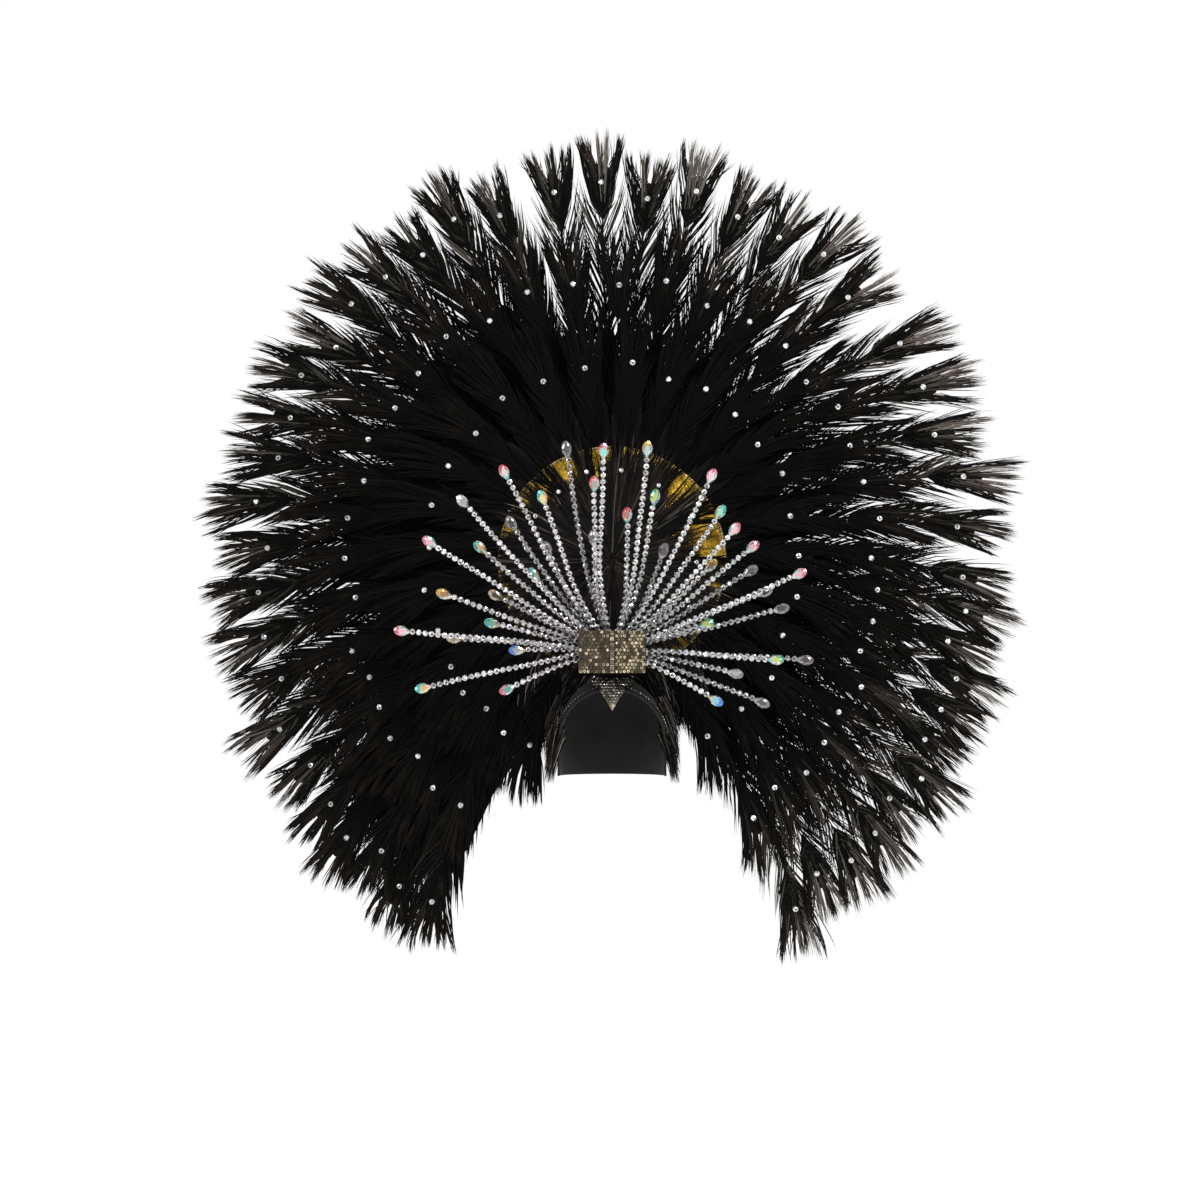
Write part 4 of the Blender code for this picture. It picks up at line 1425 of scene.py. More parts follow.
    def ridge(self) -> None:
        """Bar cut stones stacked down the strip between the panels."""
        low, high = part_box("centre_ridge")
        half = (high.x - low.x) / 2.0
        count = int((high.z - low.z) / (half * 0.92))
        up = low.z + (np.arange(count) + 0.5) * (high.z - low.z) / count
        rng = np.random.default_rng(Seed.RIDGE)
        mould = self.moulds.baguette
        places = mould.stones(rows(0.0, low.y + 0.0004, up), FRONT, UP, half * 0.85)
        # Painted sparkle: each stone gets its own brightness of painted light.
        painted_light = rng.uniform(0.35, 1.0, count)
        self.stud("ridge_stones", Slot.CHAMPAGNE, mould, places, Glass.RIDGE.value, painted_light, rng)

    def build(self) -> None:
        """Build every stalk and dress the panels."""
        for prefix, side, lines in (("stalk_left", -1, LEFT_STALKS), ("stalk_right", 1, RIGHT_STALKS)):
            for number, stalk in enumerate(stalks(lines), 1):
                rng = np.random.default_rng(Seed.STALKS + side * 100 + number)
                points, along = self.line(side * self.hub_spacing / 2.0, stalk)
                heap = Heap.of_stones()
                self.sheath(heap, points, stalk, rng)
                self.pear(heap, points[-1], along, stalk, rng)
                name = f"{prefix}_{number:02d}"
                self.wardrobe.dress(heap.make(), f"{name}_stones", Slot.PEAR, name)
        # The left panel faces away from the light and gets painted shade; the right one gets painted highlights.
        self.panel("left", -1.0, Seed.PANEL_LEFT, (0.16, 0.14, 0.25, 0.45))
        self.panel("right", 1.0, Seed.PANEL_RIGHT, (0.42, 0.26, 0.17, 0.15))
        self.ridge()


# Feathers


def polar(radius: float, degrees: float) -> np.ndarray:
    """A place in the plane of the fan, as across and up from its middle."""
    turn = math.radians(degrees)
    return np.array([math.cos(turn), math.sin(turn)]) * radius


def wobble(number: int) -> float:
    """A small steady variation from feather to feather, between -1 and 1."""
    return math.sin(number * 2.4)


@dataclass(frozen=True)
class Tier:
    """One ring of feathers.

    Attributes:
        name: What its nodes' names start with.
        eye_radius: How far the eyes are from the fan's middle.
        reach: How far the tips are from it.
        width: How wide a feather's brush is.
        lean: How many degrees its feathers lean back past the gold board.
        back: The y of the back of its quill band.
        clumps: For each clump its sector, its first and last angle, how many feathers it has and how full they are.
    """

    name: str
    eye_radius: float
    reach: float
    width: float
    lean: float
    back: float
    clumps: tuple[tuple[str, float, float, int, float], ...]


@dataclass
class Fan:
    """What all tiers share.

    Attributes:
        height: The z of the fan's middle.
        lean_start: How far from the middle the feathers begin to lean.
        root: How far from the middle their quills are rooted.
        layer_shift: How far every other feather is set back, and the rest forward.
        reach_wobble: How much their reach varies, as a share.
        steps: How many steps a quill's line has.
        droop: For degrees away from straight up, how many degrees a tip turns down and its share of the reach.
    """

    height: float = 0.165
    lean_start: float = 0.165
    root: float = 0.116
    layer_shift: float = 0.0035
    reach_wobble: float = 0.025
    steps: int = 24
    droop: tuple[tuple[float, float, float], ...] = (
        (0.0, 0.0, 1.03), (30.0, 16.0, 1.01), (60.0, 30.0, 0.98), (100.0, 24.0, 0.97), (125.0, 14.0, 1.02),
        (152.0, 28.0, 1.07),
    )

    def by_angle(self, angle: float, column: int) -> float:
        """A column of droop at an angle: 1 for the degrees that a tip turns, 2 for its share of the reach."""
        away = abs(angle - 90.0)
        return float(np.interp(away, [row[0] for row in self.droop], [row[column] for row in self.droop]))

    def trace(self, root_angle: float, turn: float, root: float, length: float) -> tuple[np.ndarray, np.ndarray]:
        """The line of a quill in the fan's plane.

        Args:
            root_angle: The angle at which it leaves its root.
            turn: How many degrees it has turned at its end.
            root: The radius of its root.
            length: Its length.

        Returns:
            The places and the headings at even steps.
        """
        shares = np.linspace(0.0, 1.0, self.steps + 1)
        headings = root_angle + turn * shares**2
        mids = np.radians((headings[1:] + headings[:-1]) / 2.0)
        moves = rows(np.cos(mids), np.sin(mids)) * length / self.steps
        places = np.vstack([[0.0, 0.0], np.cumsum(moves, axis=0)]) + polar(root, root_angle)
        return places, headings

    def quills(self, tier: Tier, root: float, middle: float, shift: float) -> dict[str, list[Quill]]:
        """The quills of each sector of a tier.

        Args:
            tier: The tier.
            root: The radius of their roots.
            middle: The y of their middle.
            shift: How far each is set back or forward from it, in turn.

        Returns:
            The quills by the names of the sectors.
        """
        sectors: dict[str, list[Quill]] = {}
        number = 0
        for sector, first, last, count, full in tier.clumps:
            for step in range(count):
                angle = first + (last - first) * step / (count - 1)
                layer = middle + (shift if number % 2 else -shift)
                sectors.setdefault(sector, []).append(Quill.grow(self, tier, angle, number, root, layer, full))
                number += 1
        return sectors


@dataclass
class Quill:
    """The line that one feather is built on.

    Attributes:
        fan: What the tiers share.
        places: Its points, as across and up from the fan's middle, at even steps and far past its end.
        headings: Its direction at each, in degrees.
        length: Its length.
        eye: How far along it the eye is.
        layer: The y of its root.
        lean: How far it leans back, as an angle.
        full: How full the feather is, from 0 to 1.
    """

    fan: Fan
    places: np.ndarray
    headings: np.ndarray
    length: float
    eye: float
    layer: float
    lean: float
    full: float
    past: ClassVar[float] = 0.1

    @classmethod
    def grow(cls, fan: Fan, tier: Tier, angle: float, number: int, root: float, layer: float, full: float) -> Quill:
        """Find the quill whose eye lies at an angle.

        Args:
            fan: What the tiers share.
            tier: The feather's tier.
            angle: The eye's angle.
            number: The feather's number in its tier.
            root: The radius of its root.
            layer: The y of its root.
            full: How full the feather is.

        Returns:
            The quill.
        """
        length = tier.reach * fan.by_angle(angle, 2) * (1.0 + fan.reach_wobble * wobble(number)) - root
        eye_share = (tier.eye_radius - root) / (tier.reach - root)
        turn = math.copysign(fan.by_angle(angle, 1), angle - 90.0)
        root_angle = angle
        shares = np.linspace(0.0, 1.0, fan.steps + 1)
        for _ in range(4):
            places, _headings = fan.trace(root_angle, turn, root, length)
            across, up = (np.interp(eye_share, shares, places[:, axis]) for axis in range(2))
            found = math.degrees(math.atan2(up, across))
            root_angle -= (found - angle + 180.0) % 360.0 - 180.0
        places, headings = fan.trace(root_angle, turn, root, length)
        places = np.vstack([places, places[-1] + polar(cls.past, headings[-1])])
        headings = np.r_[headings, headings[-1]]
        return cls(fan, places, headings, length, eye_share * length, layer, math.radians(tier.lean), full)

    def at(self, along: np.ndarray, across: np.ndarray, forward: np.ndarray) -> np.ndarray:
        """Places beside the quill.

        Args:
            along: Distances along it.
            across: Distances to its side, in the plane of the fan.
            forward: Distances towards the viewer.

        Returns:
            The places.
        """
        steps = np.r_[np.linspace(0.0, self.length, self.fan.steps + 1), self.length + self.past]
        heading = np.radians(np.interp(along, steps, self.headings))
        x = np.interp(along, steps, self.places[:, 0]) - np.sin(heading) * across
        z = np.interp(along, steps, self.places[:, 1]) + np.cos(heading) * across
        run = np.maximum(np.hypot(x, z) - self.fan.lean_start, 0.0)
        return rows(x, self.layer + run * math.tan(self.lean) - forward, z + self.fan.height)


@dataclass
class EyeFeather:
    """The barbs of one eye feather: a leafy eye, a split brush, long loose side barbs and a close stem.

    Attributes:
        eye_below: How far the eye's leaf reaches below its stone.
        eye_above: How far it reaches above.
        brush_locks: How many pointed locks the brush is split in.
        side_pitch: The space of one long side barb of a feather of full 1, before its share is taken.
        stem_pitch: The same for a short close barb.
        down_share: The share of the quill that fluff covers on the thinnest feather.
        dark_reach: Where along the quill the strands start and stop to turn from black to their painted sheen and
            warmth; nearer the root, in the shade of the crowded quills, they stay black.
        side_gain: How much longer the brush of a level feather is than that of an upright one.
        fluff, leaf, shaft: What the dye reads on the fluff, on the eye's leaf and on the quill.
    """

    eye_half_width: float = 0.0195
    eye_below: float = 0.048
    eye_above: float = 0.027
    eye_barbs: int = 46
    brush_barbs: int = 156
    brush_locks: int = 8
    side_pitch: float = 0.0027
    side_length: float = 0.115
    stem_pitch: float = 0.0045
    stem_length: float = 0.060
    barb_width: float = 0.0012
    down_half_width: float = 0.020
    down_share: float = 0.46
    dark_reach: tuple[float, float] = (0.24, 0.46)
    side_gain: float = 0.30
    quill_width: float = 0.0034
    leaf_thickness: float = 0.010
    fluff: Colour = (0.0, 0.10, 0.0)
    leaf: Colour = (0.0, 0.03, 0.9)
    shaft: Colour = (0.2, 0.14, 0.0)

    def traits(self, quill: Quill, along: np.ndarray, sheen_share: np.ndarray) -> np.ndarray:
        """What the dye reads on each strand: its tip share, its share of painted sheen and its nearness to the eye.

        Args:
            quill: The feather's quill.
            along: Where the middle of each strand is along it.
            sheen_share: How much painted sheen each strand shows as a pale streak.

        Returns:
            Three numbers for each strand.
        """
        tip = np.clip((along - quill.eye) / 0.045, 0.0, 1.0)
        eye = np.exp(-(((along - quill.eye) / 0.035) ** 2))
        outward = np.interp(along, self.dark_reach, [0.08, 1.0])
        return rows(tip * (0.5 + 0.5 * outward), sheen_share * outward * (1.1 - 0.6 * quill.full), eye)

    def lay(
        self, heap: Heap, mould: Mould, quill: Quill, start: np.ndarray, end: np.ndarray, bulge: np.ndarray,
        width: np.ndarray, sheen_share: np.ndarray,
    ) -> None:
        """Lay strands on smooth curves beside a quill.

        Args:
            heap: Where they go.
            mould: The strand.
            quill: The quill.
            start: Each strand's (along, across, forward) where it begins.
            end: Where it ends.
            bulge: How far across it is pulled halfway.
            width: Its width.
            sheen_share: How much painted sheen it shows as a pale streak.
        """
        bend = start + (end - start) * 0.5
        bend[:, 1] += bulge
        lines = curve(start, bend, end, mould.levels)
        points = quill.at(lines[..., 0], lines[..., 1], lines[..., 2])
        middles = (start[:, 0] + end[:, 0]) / 2.0
        heap.add(mould, mould.strands(points, width, width * 0.5), self.traits(quill, middles, sheen_share))

    def side_barbs(self, heap: Heap, mould: Mould, quill: Quill, size: float, rng: np.random.Generator) -> None:
        """The long loose barbs down both sides, drawn together in ragged groups.

        Args:
            heap: Where they go.
            mould: The strand.
            quill: The feather's quill.
            size: The feather's size against a large one.
            rng: The source of variation.
        """
        first = 0.16 * quill.length
        last = quill.eye - (0.036 - 0.02 * quill.full) * size
        count = int((last - first) / self.side_pitch * (0.40 + 0.90 * quill.full))
        for side in (-1.0, 1.0):
            along = np.sort(rng.uniform(first, last, count))
            group = np.cumsum(rng.random(count) < 0.30)
            groups = group[-1] + 1
            share = np.clip((along - first) / (last - first), 0.0, 1.0)
            length = self.side_length * size * (0.62 + 0.42 * share) * rng.uniform(0.82, 1.12, count)
            spread = np.radians(17.0 + 6.0 * rng.random(groups)[group] + rng.normal(0.0, 1.4, count))
            length = np.minimum(length, quill.eye + size * rng.uniform(-0.012, 0.030, count) - along)
            forward = rng.normal(0.0, 0.0016, count)
            self.lay(
                heap, mould, quill, rows(along, 0.0, forward * 0.2),
                rows(along + length * np.cos(spread), side * length * np.sin(spread), forward * 2.0),
                side * length * (0.06 + 0.03 * rng.normal(0.0, 1.0, count)),
                self.barb_width * rng.uniform(1.0, 2.3, count) * (0.95 + 0.35 * quill.full),
                np.clip(rng.beta(1.0, 1.2, groups)[group] + rng.normal(0.0, 0.12, count), 0.0, 1.0),
            )

    def stem_barbs(self, heap: Heap, mould: Mould, quill: Quill, size: float, rng: np.random.Generator) -> None:
        """The short close barbs that darken the feather along its quill.

        Args:
            heap: Where they go.
            mould: The strand.
            quill: The feather's quill.
            size: The feather's size against a large one.
            rng: The source of variation.
        """
        first = 0.06 * quill.length
        last = quill.eye - 0.02 * size
        count = int((last - first) / self.stem_pitch * (0.55 + 0.50 * quill.full))
        for side in (-1.0, 1.0):
            along = np.sort(rng.uniform(first, last, count))
            length = self.stem_length * size * rng.uniform(0.7, 1.15, count)
            spread = np.radians(rng.uniform(6.0, 15.0, count))
            forward = rng.normal(0.0008, 0.0012, count)
            self.lay(
                heap, mould, quill, rows(along, 0.0, forward * 0.2),
                rows(along + length * np.cos(spread), side * length * np.sin(spread), forward),
                side * 0.05 * length,
                self.barb_width * rng.uniform(0.8, 1.4, count),
                rng.beta(1.2, 2.6, count),
            )

    def down(self, heap: Heap, leaf: Mould, quill: Quill, size: float) -> None:
        """The close fluff behind the stem, as one thin leaf.

        Args:
            heap: Where it goes.
            leaf: The leaf.
            quill: The feather's quill.
            size: The feather's size against a large one.
        """
        share = (leaf.corners[:, 2] + 1.0) / 2.0
        high = (quill.eye - 0.02) * (self.down_share + (1.0 - self.down_share) * quill.full)
        half = self.down_half_width * size * (0.55 + 0.95 * quill.full)
        forward = leaf.corners[:, 1] * self.leaf_thickness - 0.0022
        places = quill.at(high * share**0.6, leaf.corners[:, 0] * half, forward)
        heap.add(leaf, places[None], np.array([self.fluff]))

    def eye(self, heap: Heap, moulds: Moulds, quill: Quill, size: float, rng: np.random.Generator) -> None:
        """The dense leaf round the eye, with its barbs over it.

        Args:
            heap: Where they go.
            moulds: The leaf and the strand.
            quill: The feather's quill.
            size: The feather's size against a large one.
            rng: The source of variation.
        """
        leaf, count = moulds.leaf, self.eye_barbs
        half = self.eye_half_width * size * rng.uniform(0.9, 1.08)
        low = quill.eye - self.eye_below * size
        high = quill.eye + self.eye_above * size * rng.uniform(0.75, 1.2)
        share = (leaf.corners[:, 2] + 1.0) / 2.0
        forward = leaf.corners[:, 1] * self.leaf_thickness
        places = quill.at(low + (high - low) * share**0.85, leaf.corners[:, 0] * half * 0.92, forward)
        heap.add(leaf, places[None], np.array([self.leaf]))
        for side in (-1.0, 1.0):
            along = np.linspace(low - 0.004, high - 0.020 * size, count) + rng.normal(0.0, 0.0006, count)
            length = size * rng.uniform(0.026, 0.036, count)
            spread = np.radians(rng.uniform(22.0, 34.0, count))
            reach = along + length * np.cos(spread)
            swell = np.clip((reach - low) / (high - low), 0.02, 1.0) ** 0.8
            limit = half * np.sin(np.pi * np.clip(swell, 0.0, 0.96)) ** 0.6 * rng.uniform(0.9, 1.12, count)
            across = side * np.minimum(length * np.sin(spread) * 1.35, limit)
            forward = 0.0012 + rng.normal(0.0, 0.0006, count)
            self.lay(
                heap, moulds.short_barb, quill, rows(along, 0.0, forward), rows(reach, across, forward * 0.6),
                side * 0.0025,
                self.barb_width * rng.uniform(1.1, 1.6, count),
                rng.beta(1.0, 5.0, count),
            )

    def brush(
        self, heap: Heap, mould: Mould, quill: Quill, width: float, size: float, rng: np.random.Generator
    ) -> None:
        """The brush past the eye, split in pointed locks that flare to the feather's width.

        Args:
            heap: Where it goes.
            mould: The strand.
            quill: The feather's quill.
            width: How wide it is.
            size: The feather's size against a large one.
            rng: The source of variation.
        """
        count, number = self.brush_barbs, self.brush_locks
        tip = (quill.length - quill.eye) * (1.0 + self.side_gain * math.cos(math.radians(quill.headings[-1])) ** 2)
        locks = np.sort(np.linspace(-1.0, 1.0, number) + rng.normal(0.0, 0.10, number))
        lengths = tip * (1.0 - 0.06 * locks**2) * rng.uniform(0.84, 1.12, number)
        curls = rng.normal(0.0, 0.09, number) + 0.16 * locks
        # How much painted sheen each lock shows; the outer locks show almost none.
        pale = rng.beta(1.2, 1.4, number) * (1.15 - 0.6 * quill.full)
        pale = np.where(np.abs(locks) > 0.7, 0.10, pale)
        member = rng.integers(0, number, count)
        place = locks[member]
        loose = rng.random(count) < 0.28
        along = quill.eye + size * rng.uniform(-0.030, 0.026, count)
        across = place * self.eye_half_width * size * rng.uniform(0.50, 0.90, count)
        reach = lengths[member] * rng.uniform(0.72, 1.0, count) ** 0.7 * np.where(loose, 0.92, 1.0)
        flare = width * 0.48 * place * (0.45 + 0.55 * reach / tip)
        flare = flare + rng.normal(0.0, 0.0020, count) + np.where(loose, rng.normal(0.0, 0.006, count), 0.0)
        forward = 0.001 + rng.normal(0.0, 0.0012, count)
        thin = np.where(pale[member] > 0.5, 0.65, 1.0) * (0.94 + 0.25 * quill.full)
        self.lay(
            heap, mould, quill, rows(along, across, forward),
            rows(quill.eye + reach, flare, forward + rng.normal(0.0, 0.002, count)),
            curls[member] * tip * 0.35 + rng.normal(0.0, 0.0008, count),
            self.barb_width * rng.uniform(0.8, 1.8, count) * thin,
            np.clip(pale[member] + rng.normal(0.0, 0.15, count), 0.0, 1.0),
        )

    def quill(self, heap: Heap, mould: Mould, quill: Quill) -> None:
        """The quill itself, tapering to the top of the eye.

        Args:
            heap: Where it goes.
            mould: The strand.
            quill: Its line.
        """
        line = quill.at(mould.levels * (quill.eye + 0.015), 0.0, 0.0004)[None]
        thick = np.array([self.quill_width])
        heap.add(mould, mould.strands(line, thick, thick), np.array([self.shaft]))

    def build(self, heap: Heap, moulds: Moulds, quill: Quill, width: float, size: float, seed: int) -> None:
        """Build one feather.

        Args:
            heap: Where it goes.
            moulds: The strands.
            quill: Its quill.
            width: How wide its brush is.
            size: Its size against a large feather.
            seed: What its variation starts from.
        """
        rng = np.random.default_rng(seed)
        self.down(heap, moulds.leaf, quill, size)
        self.side_barbs(heap, moulds.short_barb, quill, size, rng)
        self.stem_barbs(heap, moulds.short_barb, quill, size, rng)
        self.eye(heap, moulds, quill, size, rng)
        self.brush(heap, moulds.brush_barb, quill, width, size, rng)
        self.quill(heap, moulds.quill, quill)


@dataclass
class FeatherFan(Maker):
    """The three tiers of eye feathers, with their quill bands and the stones on their eyes.

    Attributes:
        band_thickness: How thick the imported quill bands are, of which the visible ones leave out band_gap.
        band_overhang: How many degrees a band runs on past its first and last quill.
        full_width: The width of a feather of size 1.
        skirt_barbs: How many loose barbs fall beside the cap on each side.
        skirt_reach: How low they reach on the left and on the right.
        skirt_offset: How far out of the head they stay.
    """

    fan: Fan = field(default_factory=Fan)
    feather: EyeFeather = field(default_factory=EyeFeather)
    band_inner: float = 0.030
    band_outer: float = 0.135
    band_thickness: float = 0.014
    band_gap: float = 0.0004
    band_overhang: float = 3.0
    full_width: float = 0.076
    gem_radius: float = 0.0043
    gem_forward: float = 0.0034
    skirt_barbs: int = 1100
    skirt_reach: tuple[float, float] = (-0.150, -0.085)
    skirt_offset: float = 0.007
    head: Head = field(default_factory=Head)
    tiers: tuple[Tier, ...] = (
        Tier(
            "outer_fan", 0.515, 0.585, 0.076, 3.0, 0.0917,
            (
                ("left", 242.2, 220.9, 5, 1.0), ("left", 214.2, 170.6, 7, 0.55), ("top", 162.9, 108.0, 9, 0.45),
                ("top", 98.9, 48.1, 8, 0.15), ("right", 37.0, 5.6, 5, 0.15), ("right", -2.7, -62.2, 12, 0.12),
            ),
        ),
        Tier(
            "middle_fan", 0.385, 0.468, 0.070, 0.0, 0.0774,
            (
                ("left", 238.3, 199.2, 7, 1.0), ("left", 188.2, 144.9, 6, 0.6), ("top", 136.0, 60.0, 9, 0.25),
                ("right", 51.0, 0.5, 7, 0.25), ("right", -6.3, -61.2, 9, 0.20),
            ),
        ),
        Tier(
            "inner_fan", 0.269, 0.350, 0.062, -5.0, 0.0631,
            (
                ("left", 246.0, 213.5, 5, 1.0), ("left", 202.0, 98.0, 9, 0.9), ("right", 84.0, 27.0, 6, 0.8),
                ("right", 14.0, -61.5, 7, 0.7),
            ),
        ),
    )

    def band(self, name: str, quills: Sequence[Quill], tier: Tier) -> None:
        """The band that a sector's quills are set in: one cross section spun about the fan's middle.

        Args:
            name: The sector's name.
            quills: Its quills.
            tier: Its tier.
        """
        angles = [quill.headings[0] for quill in quills]
        first, last = min(angles) - self.band_overhang, max(angles) + self.band_overhang
        centre = (0.0, 0.0, self.fan.height)
        middle = (self.band_outer + self.band_inner) / 2.0
        item = new_primitive("plane", size=1.0)
        with editing(item):
            resize((self.band_outer - self.band_inner, self.band_thickness - self.band_gap, 1.0))
            bpy.ops.transform.translate(value=(middle, tier.back - self.band_thickness / 2.0, self.fan.height))
            bpy.ops.mesh.spin(
                steps=max(4, int((last - first) / 5.0)), angle=math.radians(last - first), center=centre,
                axis=(0.0, -1.0, 0.0),
            )
            bpy.ops.mesh.select_all(action="SELECT")
            bpy.ops.mesh.remove_doubles(threshold=1e-6)
            face_outwards()
            bpy.ops.transform.rotate(value=math.radians(first), orient_axis="Y", center_override=centre)
        self.wardrobe.dress(item, f"{name}_band", Slot.FELT)

    def gems(self, name: str, quills: Sequence[Quill], seed: int) -> None:
        """A round stone on each eye.

        Args:
            name: The sector's name.
            quills: Its quills.
            seed: What the variation starts from.
        """
        rng = np.random.default_rng(seed)
        middles = np.array([quill.at(quill.eye, 0.0, self.gem_forward) for quill in quills])
        out = unit(FRONT + rng.normal(0.0, 0.06, middles.shape))
        along = unit(rng.normal(0.0, 1.0, middles.shape) * np.array([1.0, 0.0, 1.0]))
        # Painted shade that dims the stones towards the left, away from the light, and painted sparkle from stone to
        # stone.
        painted_light = np.interp(middles[:, 0], [-0.5, 0.1], [0.55, 1.0]) * rng.uniform(0.8, 1.0, len(middles))
        mould = self.moulds.pave
        places = mould.stones(middles, out, along, self.gem_radius)
        self.stud(f"{name}_gems", Slot.CLEAR, mould, places, Glass.EYE.value, painted_light, rng)

    def skirt(self, heap: Heap, sector: str) -> None:
        """Loose barbs from the lowest quills of the inner tier, which fall close round the outside of the cap.

        Args:
            heap: Where they go.
            sector: left or right.
        """
        left = sector == "left"
        side, lowest = (-1.0, self.skirt_reach[0]) if left else (1.0, self.skirt_reach[1])
        rng = np.random.default_rng(Seed.SKIRT_LEFT if left else Seed.SKIRT_RIGHT)
        count = self.skirt_barbs
        away = rng.uniform(0.012, 0.118, count)
        start = rows(side * away, rng.uniform(0.050, 0.061, count), rng.uniform(0.0, 0.075, count))
        end = start.copy()
        end[:, 0] = side * (away * 0.45 + rng.uniform(0.045, 0.092, count))
        end[:, 2] -= rng.uniform(0.07, 0.13, count)
        end[:, 2] = np.maximum(end[:, 2], lowest + rng.uniform(0.0, 0.035, count))
        bend = (start + end) / 2.0
        bend[:, 0] += side * 0.012
        mould = self.moulds.barb
        lines = curve(start, bend, end, mould.levels)
        size = self.head.size(self.skirt_offset)
        round_cap = (lines[..., 0] / size[0]) ** 2 + (lines[..., 1] / size[1]) ** 2
        dome = np.maximum((lines[..., 2] + self.head.crown) / size[2], 0.0) ** 2
        lines = lines[((round_cap + dome) > 1.0).all(axis=1)]
        width = rng.uniform(0.0012, 0.0030, len(lines))
        traits = rows(0.0, rng.beta(1.0, 4.0, len(lines)), 0.0)
        heap.add(mould, mould.strands(lines, width, width * 0.4), traits)

    def build(self) -> None:
        """Build every tier."""
        for place, tier in enumerate(self.tiers):
            middle = tier.back - self.band_thickness / 2.0
            sectors = self.fan.quills(tier, self.fan.root, middle, self.fan.layer_shift)
            for turn, (sector, quills) in enumerate(sectors.items()):
                name = f"{tier.name}_{sector}"
                heap = Heap.of_strands()
                for number, quill in enumerate(quills):
                    seed = Seed.FEATHERS * (place + 1) + 1000 * turn + number
                    self.feather.build(heap, self.moulds, quill, tier.width, tier.width / self.full_width, seed)
                if tier.name == "inner_fan":
                    self.skirt(heap, sector)
                self.wardrobe.dress(heap.make(), f"{name}_feathers", Slot.FEATHER, name)
                self.band(name, quills, tier)
                self.gems(name, quills, Seed.GEMS + 10 * place + turn)


@dataclass
class CrestFeathers(Maker):
    """The short loose feathers that lie over the gold board, and the root disc that holds them.

    Attributes:
        root_back: The y of the root disc's back.
        size: Their size against a large feather.
        veil_barbs: How many loose barbs lie between them.
        bare_places: Where the gold shows: the first and last angle, and how far out the barbs stop.
    """

    fan: Fan = field(default_factory=Fan)
    feather: EyeFeather = field(
        default_factory=lambda: EyeFeather(
            eye_half_width=0.013, eye_below=0.030, eye_above=0.020, eye_barbs=24, brush_barbs=44, brush_locks=6,
            side_pitch=0.0040, side_length=0.085, stem_pitch=0.0030, stem_length=0.045, barb_width=0.0010,
            down_half_width=0.012,
        )
    )
    tier: Tier = Tier(
        "crest_feathers", 0.125, 0.196, 0.044, -8.0, 0.0465,
        (("all", 172.0, 84.0, 5, 0.5), ("all", 58.0, -31.0, 4, 0.5)),
    )
    root_radius: float = 0.030
    root_back: float = 0.0465
    root_thickness: float = 0.008
    gem_radius: float = 0.0036
    gem_forward: float = 0.003
    size: float = 0.75
    veil_barbs: int = 2400
    bare_places: tuple[tuple[float, float, float], ...] = (
        (-3.0, 30.0, 0.130), (44.0, 53.0, 0.140), (96.0, 104.0, 0.125), (111.0, 121.0, 0.142), (123.0, 136.0, 0.128),
    )

    def root(self) -> None:
        """The round root that the feathers are stitched to."""
        item = new_primitive(
            "cylinder",
            vertices=32,
            radius=self.root_radius,
            depth=self.root_thickness / 2.0,
            rotation=(math.pi / 2.0, 0.0, 0.0),
            location=(0.0, self.root_back - self.root_thickness / 4.0, self.fan.height),
        )
        settle(item)
        with editing(item):
            choose(lambda middle, normal: abs(normal.y) > 0.9)
            bpy.ops.mesh.inset(thickness=0.004)
            bpy.ops.mesh.inset(thickness=0.006, depth=-0.0008)
        self.wardrobe.dress(item, "crest_root", Slot.FELT)

    def veil(self, heap: Heap) -> None:
        """Loose black barbs that spread from the root over the gold board and leave it bare in a few places.

        Args:
            heap: Where they go.
        """
        rng = np.random.default_rng(Seed.VEIL)
        count, mould = self.veil_barbs, self.moulds.barb
        angle = np.where(rng.random(count) < 0.75, rng.uniform(0.0, 360.0, count), rng.uniform(178.0, 372.0, count))
        start = rng.uniform(0.004, 0.085, count)
        reach = rng.uniform(0.128, 0.190, count)
        for first, last, bare in self.bare_places:
            within = ((angle - first) % 360.0) < last - first
            reach = np.where(within & (rng.random(count) < 0.93), rng.uniform(0.6, 1.0, count) * bare, reach)
        share = mould.levels[None, :]
        radius = start[:, None] + (np.maximum(reach, start + 0.02) - start)[:, None] * share
        turn = np.radians(angle[:, None] + rng.normal(0.0, 3.0, count)[:, None] * share**2)
        depth = self.root_back - self.root_thickness * rng.uniform(0.62, 0.98, count)[:, None]
        depth = depth + np.maximum(radius - self.fan.lean_start, 0.0) * math.tan(math.radians(self.tier.lean))
        lines = rows(radius * np.cos(turn), depth, radius * np.sin(turn) + self.fan.height)
        width = rng.uniform(0.0016, 0.0040, count)
        traits = rows(rng.uniform(0.0, 1.0, count), rng.beta(1.0, 9.0, count), 0.0)
        heap.add(mould, mould.strands(lines, width, width * 0.25), traits)

    def build(self) -> None:
        """Build the feathers, their root and their stones."""
        heap = Heap.of_strands()
        self.veil(heap)
        middle = self.root_back - self.root_thickness / 2.0
        (quills,) = self.fan.quills(self.tier, self.root_radius * 0.8, middle, 0.0).values()
        for number, quill in enumerate(quills):
            self.feather.build(heap, self.moulds, quill, self.tier.width, self.size, Seed.CREST_FEATHERS + number)
        self.wardrobe.dress(heap.make(), "crest_plumes", Slot.FEATHER, "crest_feathers")
        self.root()
        rng = np.random.default_rng(Seed.CREST_GEMS)
        middles = np.array([quill.at(quill.eye, 0.0, self.gem_forward) for quill in quills])
        mould = self.moulds.pave
        places = mould.stones(middles, FRONT, UP, self.gem_radius)
        # Painted sparkle: each stone gets its own brightness of painted light.
        painted_light = rng.uniform(0.6, 0.95, len(middles))
        self.stud("crest_gems", Slot.CLEAR, mould, places, Glass.CREST_EYE.value, painted_light, rng)


